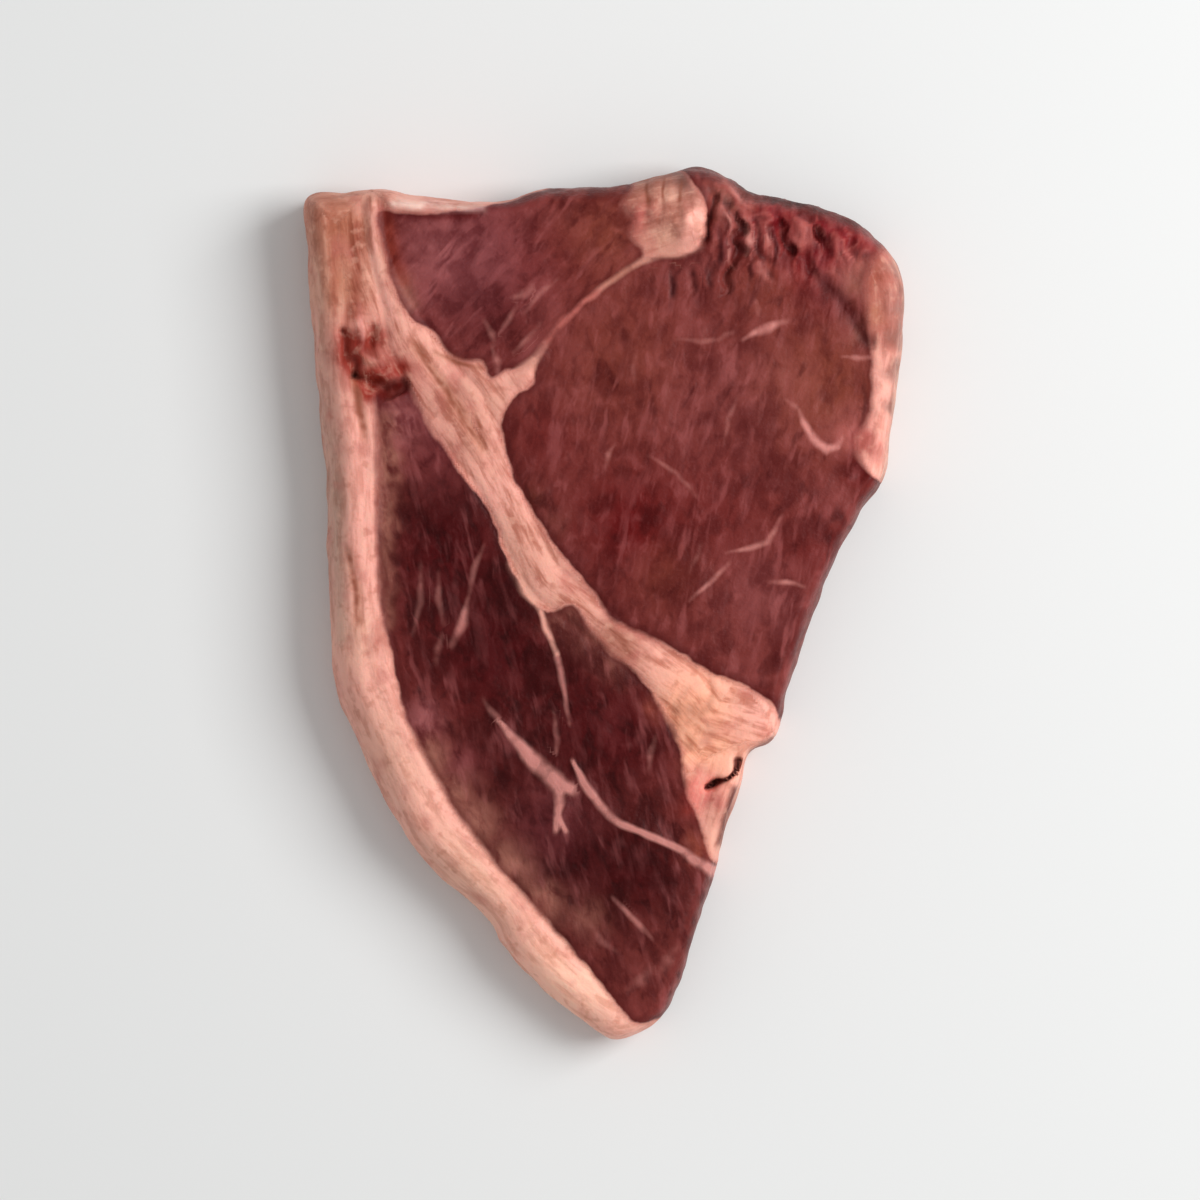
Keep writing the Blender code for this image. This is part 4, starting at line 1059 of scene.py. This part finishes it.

# %% [markdown]
# ## Small marks
# Over the dabs come thin marks: blood lines in the fat, the brown split along the middle of the
# main seam, the pale lip at the broad end. Some are painted light and shade: a shadow under the
# fat knob by the notch, shade in the crease near the torn corner, a highlight along the rind's
# crest and a lighter band on its shaded outer wall. They are lines with a width, like the gaps.

# %% Draw thin marks into both colours
MARKS = [
    ([(-50.3, 90.0, 1.7), (-49.0, 80.0, 1.9), (-48.2, 76.0, 1.6)], BAND_BROWN, 0.95),
    ([(-46.4, 73.0, 2.4), (-44.6, 68.0, 2.0)], TAN_RED, 0.8),
    ([(-50.8, 91.5, 1.6), (-49.6, 86.0, 2.0), (-48.0, 79.0, 2.0), (-45.8, 73.0, 1.6)], MAROON, 0.6),
    ([(-56.6, 86.0, 1.0), (-56.4, 76.0, 1.4), (-56.8, 68.0, 1.5)], RUST_FAT * 0.9, 0.75),
    ([(-38.5, 57.0, 0.9), (-33.0, 54.4, 1.0), (-28.0, 53.6, 0.9)], BROWN_FAT, 0.6),
    ([(-43.0, 58.5, 1.4), (-36.3, 49.0, 1.5), (-31.8, 41.5, 1.5), (-28.0, 35.5, 1.2)], BROWN_FAT, 0.55),
    ([(-52.9, 90.0, 1.2), (-52.7, 80.0, 1.4), (-50.9, 72.0, 1.5), (-48.4, 65.0, 1.4)], PINK_FAT, 0.85),
    ([(-66.3, 78.0, 0.8), (-65.0, 68.0, 0.9), (-65.0, 58.0, 0.8)], PALE_FAT, 0.6),
    ([(-62.0, 80.0, 0.8), (-61.5, 66.0, 0.9)], RUST_FAT, 0.5),
    (POCKET, MAROON, 0.95), (POCKET_HOLE, MAROON, 0.9), (POCKET_MOUTH, MAROON, 0.9),
    (RIND_CREASE, BROWN_FAT, 0.6), (RIND_FOLD, BROWN_FAT, 0.5),
    ([(-50.6, 41.0, 1.9), (-50.3, 25.0, 1.8), (-50.0, 10.0, 1.6), (-49.4, -5.0, 1.3)], TAN_RED, 0.75),
    ([(29.6, -42.6, 1.2), (27.9, -48.1, 1.4), (26.3, -54.6, 1.2)], RIM_BROWN * 1.6, 0.95),
    # Painted shadow under the fat knob by the notch.
    ([(33.6, -33.9, 0.9), (38.0, -31.4, 1.1)], KNOB_SHADOW_BROWN, 0.9),
    ([(21.6, -38.5, 1.2), (20.4, -43.5, 1.4), (21.2, -47.0, 1.0)], SALMON, 0.6),
    # The dark mark along CREASE_ARC is painted shade in that crease.
    (CREASE_ARC, DARK_RED * 1.3, 0.85),
    ([(-47.8, 91.0, 1.1), (-38.0, 90.3, 1.2), (-28.0, 90.0, 0.9)], WHITE_LIP, 0.95),
    ([(-46.5, 88.4, 0.9), (-30.0, 88.0, 0.9)], BLOOD_RED, 0.8),
    # The lighter pink line along the rind's inner crest is a painted highlight.
    ([(-53.2, 28.0, 1.2), (-53.8, 8.0, 1.3), (-50.5, -14.0, 1.2), (-45.0, -31.0, 1.2),
      (-36.5, -47.0, 1.2), (-25.0, -62.0, 1.1), (-6.0, -83.0, 1.1)], PINK_FAT * 1.08, 0.65),
    # This lighter band on the rind's outer wall is painted light that lifts the wall where it faces away
    # from the light.
    ([(-61.6, 28.0, 1.6), (-61.2, 10.0, 1.6), (-60.0, -8.0, 1.4)], GREY_SKIN_SHADE * 1.5, 0.8),
    ([(-21.5, 9.0, 0.8), (-16.0, 0.5, 0.8)], PALE_FAT, 0.5),
]
for line, colour, strength in MARKS:
    share = strength * beside(half_swayed, line)
    lean_colour = painted(lean_colour, colour, share)
    fat_colour = painted(fat_colour, colour, share)
print("marks:", len(MARKS))

# %% Colour of each kind of fine line
LINE_COLOURS = {"knot": KNOT_PINK, "fleck": FLECK_PINK, "split": SPLIT_BROWN, "crack": DEEP_RED,
                "strand": STRAND_PINK}
line_colour = fat_colour.copy()
for kind, colour in LINE_COLOURS.items():
    line_colour[fine_kind == kind] = colour
print("kinds of fine line:", len(LINE_COLOURS) + 1)

# %% [markdown]
# ## Torn meat, skin and painted shade
# In the torn corner the relief itself says which colour goes where: pink on the high places,
# partly the dried strands and partly painted light, and dark red in the low places, partly blood
# and partly painted shade. A dark band along the torn edge is a painted shadow. The outside of the
# rind is a duller skin with painted shade over it where the shoulder and the side turn from the
# light, and the lean's side is painted grey as shade.

# %% Tint the torn corner and the sides, with painted light and shade
TORN_TINT = 0.75
HIGH_SLOPE = 2.0
HIGH_FROM = 0.2
LOW_SLOPE = 1.6
STRAND_TINT = 0.55
SKIN_SHADE_FROM_X = -20.0
SKIN_SHADE_RUN_X = 15.0
SKIN_SHADE_INSET = 2.5
SKIN_SHADE_FADE = 5.0
SKIN_SHADE_MIDDLE_Y = 30.0
SKIN_SHADE_REACH_Y = 32.0
SKIN_SHADE_LEAST = 0.25
SKIN_SHADE_TINT = 0.8
SIDE_SKIN_SHADE = 0.9
SIDE_SHADE_TINT = 0.6
EDGE_SHADOW_TINT = 0.85
# A dark band just inside the outline of the torn corner: a painted shadow.
TORN_EDGE_SHADOW = [
    (29.0, 96.2, 1.2), (34.5, 93.4, 1.6), (44.4, 91.2, 1.9), (50.0, 89.2, 1.9), (56.5, 86.6, 1.5),
]

# Pink on the high places of the torn relief is partly the dried strands and partly painted light. Dark red
# in its low places is partly blood and partly painted shade.
ridge_light_share = TORN_TINT * torn * np.clip(HIGH_SLOPE * tatters - HIGH_FROM, 0.0, 1.0)
hollow_shade_share = TORN_TINT * torn * np.clip(-LOW_SLOPE * tatters, 0.0, 1.0)
strand_share = STRAND_TINT * np.max([beside(swayed, line) for line in TORN_STRANDS], axis=0)
lean_colour = painted(lean_colour, RAW_PINK, ridge_light_share)
lean_colour = painted(lean_colour, DARK_RED, hollow_shade_share)
lean_colour = painted(lean_colour, RAW_PINK, strand_share)

# The rind's outer band and the fat's sides get a duller grey-tan: partly the rind's own skin, partly
# painted shade where the shoulder and side turn from the light.
rind_side = np.clip((SKIN_SHADE_FROM_X - plan[:, 0]) / SKIN_SHADE_RUN_X, 0.0, 1.0)
rind_skin_shade = rind_side * np.clip(1.0 - (inset - SKIN_SHADE_INSET) / SKIN_SHADE_FADE, 0.0, 1.0)
skin_shade_bell = np.exp(-((plan[:, 1] - SKIN_SHADE_MIDDLE_Y) / SKIN_SHADE_REACH_Y) ** 2)
skin_shade_reach = SKIN_SHADE_LEAST + (1.0 - SKIN_SHADE_LEAST) * skin_shade_bell
skin_shade_share = SKIN_SHADE_TINT * skin_shade_reach * np.maximum(SIDE_SKIN_SHADE * on_side, rind_skin_shade)
fat_colour = painted(fat_colour, GREY_SKIN_SHADE, skin_shade_share)
# The lean's side is painted grey as shade.
lean_colour = painted(lean_colour, WALL_GREY, SIDE_SHADE_TINT * on_side)
# Painted shadow along the edge of the torn corner.
lean_colour = painted(lean_colour, RIM_BROWN, EDGE_SHADOW_TINT * beside(swayed, TORN_EDGE_SHADOW))
print("torn vertices:", int((torn > 0.3).sum()))

# %% [markdown]
# ## From bmesh to an object
# The mesh goes to an object at the origin, as the solid's does, because the export bakes every
# piece there. The measures become attributes on its points.

# %% Make the object and its attributes
FIELDS = {"lean_depth": lean, "gap_depth": gap_depth, "fine_across": fine_across,
          "fine_shows": fine_shows, "softness": softness, "mottled": mottled, **slow}
COLOURS = {"lean_colour": lean_colour, "fat_colour": fat_colour, "line_colour": line_colour}

mesh_data = bpy.data.meshes.new("raw_steak")
steak_mesh.to_mesh(mesh_data)
steak_mesh.free()
mesh_data.shade_smooth()
for name, values in FIELDS.items():
    layer = mesh_data.attributes.new(name, "FLOAT", "POINT")
    layer.data.foreach_set("value", values.astype(np.float32))
for name, values in COLOURS.items():
    layer = mesh_data.attributes.new(name, "FLOAT_COLOR", "POINT")
    rgba = np.column_stack((values, np.ones(len(values)))).astype(np.float32)
    layer.data.foreach_set("color", rgba.ravel())
layer = mesh_data.attributes.new("grain", "FLOAT_VECTOR", "POINT")
layer.data.foreach_set("vector", grain.astype(np.float32).ravel())
steak = bpy.data.objects.new("raw_steak", mesh_data)
bpy.context.scene.collection.objects.link(steak)
triangles = sum(len(face.vertices) - 2 for face in mesh_data.polygons)
print("triangles:", triangles)

# %% [markdown]
# ## The material of raw beef
# One Principled shader does for all of it, since lean and fat are both wet and let light in. Two
# shaders mixed would double the cost. What differs is the colour, the gloss and the relief, and
# the distance into the lean says which. Noise shifts that distance a little, so that the border
# wanders as it does in meat.

# %% Node helpers
def new_node(tree, kind, settings=None, **inputs):
    """Node of a kind, with settings on itself and values or links on its inputs."""
    node = tree.nodes.new(kind)
    for key, value in (settings or {}).items():
        setattr(node, key, value)
    for key, value in inputs.items():
        socket = node.inputs[int(key[1:])] if key[1:].isdigit() else node.inputs[key.replace("_", " ")]
        if isinstance(value, bpy.types.NodeSocket):
            tree.links.new(value, socket)
        else:
            socket.default_value = value
    return node


def attribute(tree, name, output="Fac"):
    """What the mesh remembers under a name."""
    return new_node(tree, "ShaderNodeAttribute", {"attribute_name": name}).outputs[output]


def noise_node(tree, where, scale, detail=2.0, distortion=0.0):
    """Noise from nought to one, read at the given coordinates."""
    settings = {"noise_dimensions": "3D"}
    node = new_node(tree, "ShaderNodeTexNoise", settings, Vector=where, Scale=scale, Detail=detail,
                    Roughness=0.55, Distortion=distortion)
    return node.outputs["Fac"]


def mapped(tree, value, low, high, to_low=0.0, to_high=1.0):
    """A value carried from one range to another and held inside it."""
    settings = {"interpolation_type": "SMOOTHSTEP"}
    node = new_node(tree, "ShaderNodeMapRange", settings, Value=value)
    for key, number in zip(("From Min", "From Max", "To Min", "To Max"), (low, high, to_low, to_high)):
        node.inputs[key].default_value = number
    return node.outputs["Result"]


def maths(tree, operation, first, second):
    """One sum on two numbers."""
    return new_node(tree, "ShaderNodeMath", {"operation": operation}, _0=first, _1=second).outputs[0]


def blended(tree, share, first, second, mode="MIX"):
    """Two colours mixed by a share."""
    settings = {"data_type": "RGBA", "blend_type": mode}
    node = new_node(tree, "ShaderNodeMix", settings, _0=share, _6=first, _7=second)
    return node.outputs[2]


# %% [markdown]
# ### Lean
# Up close lean meat is mottled with darker and wetter places, and has soft pale streaks where the
# knife ran along a bundle of fibres. Noise at three sizes gives clouds, mottles and grit. Voronoi
# cells would look like a net. A frame that is stretched further gives the streaks.

# %% Colour of the lean
MOTTLE_SCALE = 0.34
POOL_SCALE = 0.22
GRIT_SCALE = 1.1
STREAK_SCALE = 0.42
STREAK_STRETCH = (1.0, 0.35, 1.0)
STREAK_HAZE = 0.38
DARKER = (0.50, 0.28, 0.32, 1.0)
LIFTED = (1.25, 1.30, 1.30, 1.0)
POOLED = (0.30, 0.08, 0.12, 1.0)

beef = bpy.data.materials.new("raw_beef_cut")
beef.use_nodes = True
tree = beef.node_tree
shader = tree.nodes["Principled BSDF"]
fibre = attribute(tree, "grain", "Vector")
place_in_mm = new_node(tree, "ShaderNodeVectorMath", {"operation": "SCALE"},
                       _0=new_node(tree, "ShaderNodeTexCoord").outputs["Object"], _3=1.0 / MM)
spot = place_in_mm.outputs[0]


def moved(tree, where, scale, amount):
    """Coordinates shifted by noise, so that cells read from them lose their regular shape."""
    shift = new_node(tree, "ShaderNodeTexNoise", Vector=where, Scale=scale, Detail=2.0)
    middle_out = new_node(tree, "ShaderNodeVectorMath", {"operation": "SUBTRACT"},
                          _0=shift.outputs["Color"], _1=(0.5, 0.5, 0.5))
    node = new_node(tree, "ShaderNodeVectorMath", {"operation": "MULTIPLY_ADD"},
                    _0=middle_out.outputs[0], _1=(amount, amount, amount), _2=where)
    return node.outputs[0]


clouds_here = attribute(tree, "clouds")
zones_here = attribute(tree, "zones")
mottled_here = attribute(tree, "mottled")
mottles = noise_node(tree, fibre, MOTTLE_SCALE, detail=2.5, distortion=0.4)
pools = noise_node(tree, fibre, POOL_SCALE, detail=2.0, distortion=0.5)
grit = noise_node(tree, spot, GRIT_SCALE, detail=2.0)
drawn_out = new_node(tree, "ShaderNodeVectorMath", {"operation": "MULTIPLY"},
                     _0=moved(tree, fibre, 0.22, 2.4), _1=STREAK_STRETCH).outputs[0]
streaks = noise_node(tree, drawn_out, STREAK_SCALE, 2.0)

lean_paint = attribute(tree, "lean_colour", "Color")
darker = blended(tree, 1.0, lean_paint, DARKER, "MULTIPLY")
lifted = blended(tree, 1.0, lean_paint, LIFTED, "MULTIPLY")
pool_paint = blended(tree, 1.0, lean_paint, POOLED, "MULTIPLY")
haze = mapped(tree, mottled_here, 0.5, 1.0, 0.30, 0.08)
lighter = blended(tree, haze, lifted, (*MAUVE, 1.0))
dark_share = maths(tree, "MULTIPLY", mapped(tree, mottles, 0.32, 0.52, 1.0, 0.0), mottled_here)
lean_mix = blended(tree, dark_share, lean_paint, darker)
lean_mix = blended(tree, mapped(tree, mottles, 0.52, 0.72, 0.0, 0.9), lean_mix, lighter)
lean_mix = blended(tree, mapped(tree, clouds_here, 0.0, 0.55, 0.0, 0.65), lean_mix, darker)
lean_mix = blended(tree, mapped(tree, clouds_here, -0.55, -0.05, 0.35, 0.0), lean_mix, lighter)
lean_mix = blended(tree, mapped(tree, pools, 0.56, 0.76, 0.0, 0.6), lean_mix, pool_paint)
lean_mix = blended(tree, mapped(tree, grit, 0.52, 0.75, 0.0, 0.16), lean_mix, lighter)
streak_share = maths(tree, "MULTIPLY", mapped(tree, streaks, 0.50, 0.72),
                     mapped(tree, zones_here, -0.35, 0.35, 0.3, 0.95))
streak_paint = blended(tree, STREAK_HAZE, lifted, (*MAUVE, 1.0))
lean_mix = blended(tree, streak_share, lean_mix, streak_paint)
print("nodes so far:", len(tree.nodes))

# %% [markdown]
# ### Fat
# Fat is waxy, with strands along the seam, small pink stains where blood has run in, and paler
# patches.

# %% Colour of the fat
STRAND_SCALE = 0.50
LOBE_SCALE = 0.34
DULL = (0.66, 0.50, 0.44, 1.0)
LIGHT = (1.09, 1.10, 1.10, 1.0)

strands = noise_node(tree, moved(tree, fibre, 0.3, 1.0), STRAND_SCALE, detail=3.0)
lobes = noise_node(tree, spot, LOBE_SCALE, detail=2.0)
fat_paint = attribute(tree, "fat_colour", "Color")
fat_dull = blended(tree, 1.0, fat_paint, DULL, "MULTIPLY")
fat_pale = blended(tree, 0.40, fat_paint, (*PALE_FAT * 1.2, 1.0))
dull_share = maths(tree, "MULTIPLY", mapped(tree, strands, 0.34, 0.56, 0.95, 0.0), mottled_here)
fat_light = blended(tree, 1.0, fat_paint, LIGHT, "MULTIPLY")
fat_mix = blended(tree, dull_share, fat_light, fat_dull)
fat_mix = blended(tree, mapped(tree, strands, 0.54, 0.72, 0.0, 0.8), fat_mix, fat_pale)
fat_mix = blended(tree, mapped(tree, lobes, 0.52, 0.72, 0.0, 0.6), fat_mix, fat_pale)
fat_mix = blended(tree, mapped(tree, lobes, 0.28, 0.46, 0.5, 0.0), fat_mix, fat_dull)
fat_mix = blended(tree, mapped(tree, attribute(tree, "stains"), 0.10, 0.90, 0.0, 0.4), fat_mix,
                  (*RAW_PINK, 1.0))
print("nodes so far:", len(tree.nodes))

# %% [markdown]
# ### Border, gaps and gloss
# The border follows the kept distance, shifted a little by noise, and is soft where the mesh says
# so. The lean is darker beside the fat borders, a painted shade. Gaps go dark with their depth,
# partly as blood gathers there and partly as painted shade. Lean is glossier than fat. The bump is
# only for what is finer than the mesh.

# %% Join lean and fat, then gloss and bump
WANDER_SCALE = 0.4
WANDER = 0.8
BREAK_SCALE = 0.30
BUMP_DEPTH = 0.0006

wander_noise = maths(tree, "SUBTRACT", noise_node(tree, spot, WANDER_SCALE, 2.5), 0.5)
wander = maths(tree, "MULTIPLY", wander_noise, WANDER)
border = maths(tree, "ADD", attribute(tree, "lean_depth"), wander)
lean_share = mapped(tree, maths(tree, "DIVIDE", border, attribute(tree, "softness")), -1.0, 1.0)
film = mapped(tree, border, -1.5, -0.1, 0.0, 0.40)
fat_mix = blended(tree, film, fat_mix, (*RAW_PINK, 1.0))
# Painted shade: the lean is darkened for about two millimetres beside the fat borders.
border_painted_shade = mapped(tree, border, 0.3, 2.2, 0.60, 0.0)
lean_mix = blended(tree, border_painted_shade, lean_mix, darker)
off_middle = maths(tree, "ABSOLUTE", attribute(tree, "fine_across"), 0.0)
line_body = mapped(tree, off_middle, 0.0, 1.5, 1.0, 0.0)
line_break = mapped(tree, noise_node(tree, spot, BREAK_SCALE, 1.0), 0.32, 0.56, 0.55, 1.0)
line_share = maths(tree, "MULTIPLY", maths(tree, "MULTIPLY", line_body, line_break),
                   attribute(tree, "fine_shows"))
cut_colour = blended(tree, lean_share, fat_mix, lean_mix)
cut_colour = blended(tree, line_share, cut_colour, attribute(tree, "line_colour", "Color"))
gap = attribute(tree, "gap_depth")
# Gaps darken with their depth: partly the red of blood, partly painted shade, nearly black in the deepest.
cut_colour = blended(tree, mapped(tree, gap, 0.12, 0.65, 0.0, 0.92), cut_colour, (*GAP_BLOOD_SHADE, 1.0))
cut_colour = blended(tree, mapped(tree, gap, 0.62, 0.95, 0.0, 0.85), cut_colour, (*GAP_DEEP_SHADE, 1.0))
tree.links.new(cut_colour, shader.inputs["Base Color"])

gloss = mapped(tree, lean_share, 0.0, 1.0, 0.50, 0.44)
gloss = maths(tree, "ADD", gloss, mapped(tree, grit, 0.3, 0.7, -0.06, 0.08))
tree.links.new(gloss, shader.inputs["Roughness"])

lean_bump = maths(tree, "ADD", maths(tree, "MULTIPLY", mottles, 0.9),
                  maths(tree, "MULTIPLY", grit, 0.45))
fat_bump = maths(tree, "ADD", maths(tree, "MULTIPLY", strands, 0.5),
                 maths(tree, "MULTIPLY", grit, 0.45))
fine_height = new_node(tree, "ShaderNodeMix", {"data_type": "FLOAT"}, _0=lean_share, _2=fat_bump,
                       _3=lean_bump).outputs[0]
bump = new_node(tree, "ShaderNodeBump", Height=fine_height, Strength=0.5, Distance=BUMP_DEPTH)
tree.links.new(bump.outputs["Normal"], shader.inputs["Normal"])

shader.inputs["IOR"].default_value = 1.33
shader.inputs["Specular IOR Level"].default_value = 0.2
shader.inputs["Subsurface Weight"].default_value = 0.15
shader.inputs["Subsurface Radius"].default_value = (1.0, 0.35, 0.22)
shader.inputs["Subsurface Scale"].default_value = 0.003
mesh_data.materials.append(beef)
print("nodes in all:", len(tree.nodes))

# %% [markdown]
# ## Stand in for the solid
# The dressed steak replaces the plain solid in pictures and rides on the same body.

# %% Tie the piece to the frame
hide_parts("steak")
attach(steak, "root")

# %% [markdown]
# ## The table
# A plain pale surface. A plane with a soft material is enough, since only its shade shows.

# %% Floor
FLOOR_HALF = 3.0
FLOOR_GAP = 0.0001
PAPER_WHITE = (0.80, 0.805, 0.80, 1.0)

floor_mesh = bmesh.new()
bmesh.ops.create_grid(floor_mesh, x_segments=2, y_segments=2, size=FLOOR_HALF)
bmesh.ops.translate(floor_mesh, verts=floor_mesh.verts, vec=(0.0, 0.0, solid_low[2] - FLOOR_GAP))
floor_data = bpy.data.meshes.new("floor")
floor_mesh.to_mesh(floor_data)
floor_mesh.free()
floor = bpy.data.objects.new("floor", floor_data)
bpy.context.scene.collection.objects.link(floor)
paper = bpy.data.materials.new("pale_floor")
paper.use_nodes = True
matt = paper.node_tree.nodes["Principled BSDF"]
matt.inputs["Base Color"].default_value = PAPER_WHITE
matt.inputs["Roughness"].default_value = 0.8
floor_data.materials.append(paper)
print("floor of", 2.0 * FLOOR_HALF, "m")

# %% [markdown]
# ## Light
# One large soft light from the right makes the short soft shadow on the left. A pale world fills
# the rest, as white walls would.

# %% Soft box and world
KEY_WATTS = 18.4
KEY_SIZE = 0.85
KEY_PLACE = Vector((1.0, 0.30, 0.98))
WORLD_LIGHT = 0.475

lamp = bpy.data.lights.new("soft_box", "AREA")
lamp.energy = KEY_WATTS
lamp.size = KEY_SIZE
soft_box = bpy.data.objects.new("soft_box", lamp)
soft_box.location = KEY_PLACE
soft_box.rotation_euler = (-KEY_PLACE).to_track_quat("-Z", "Y").to_euler()
bpy.context.scene.collection.objects.link(soft_box)
world = bpy.data.worlds.new("pale_room")
world.use_nodes = True
world.node_tree.nodes["Background"].inputs["Color"].default_value = (1.0, 1.0, 1.0, 1.0)
world.node_tree.nodes["Background"].inputs["Strength"].default_value = WORLD_LIGHT
bpy.context.scene.world = world
bpy.context.scene.view_settings.view_transform = "Standard"
print("key light", round(KEY_PLACE.length, 2), "m away")

# %% [markdown]
# ## Camera
# The picture looks straight down. A long lens from far away keeps the sides of the steak from
# leaning outwards. The lens follows from the width of the view at the height of the cut face.

# %% Camera straight above
CAMERA_HEIGHT = 1.8
VIEW_WIDTH = 0.2727
SENSOR = 36.0
CAMERA_AIM = (-0.00125, 0.0008)

camera_data = bpy.data.cameras.new("camera")
camera_data.sensor_width = SENSOR
camera_data.lens = SENSOR * CAMERA_HEIGHT / VIEW_WIDTH
camera = bpy.data.objects.new("camera", camera_data)
camera.location = (CAMERA_AIM[0] - middle[0], CAMERA_AIM[1] - middle[1],
                   CAMERA_HEIGHT + THICK_BROAD * MM)
bpy.context.scene.collection.objects.link(camera)
bpy.context.scene.camera = camera
print("lens:", round(camera_data.lens), "mm")

# %% [markdown]
# ## The end
# The dressed steak has to stay in the solid's box.

# %% Finish
print("finished")
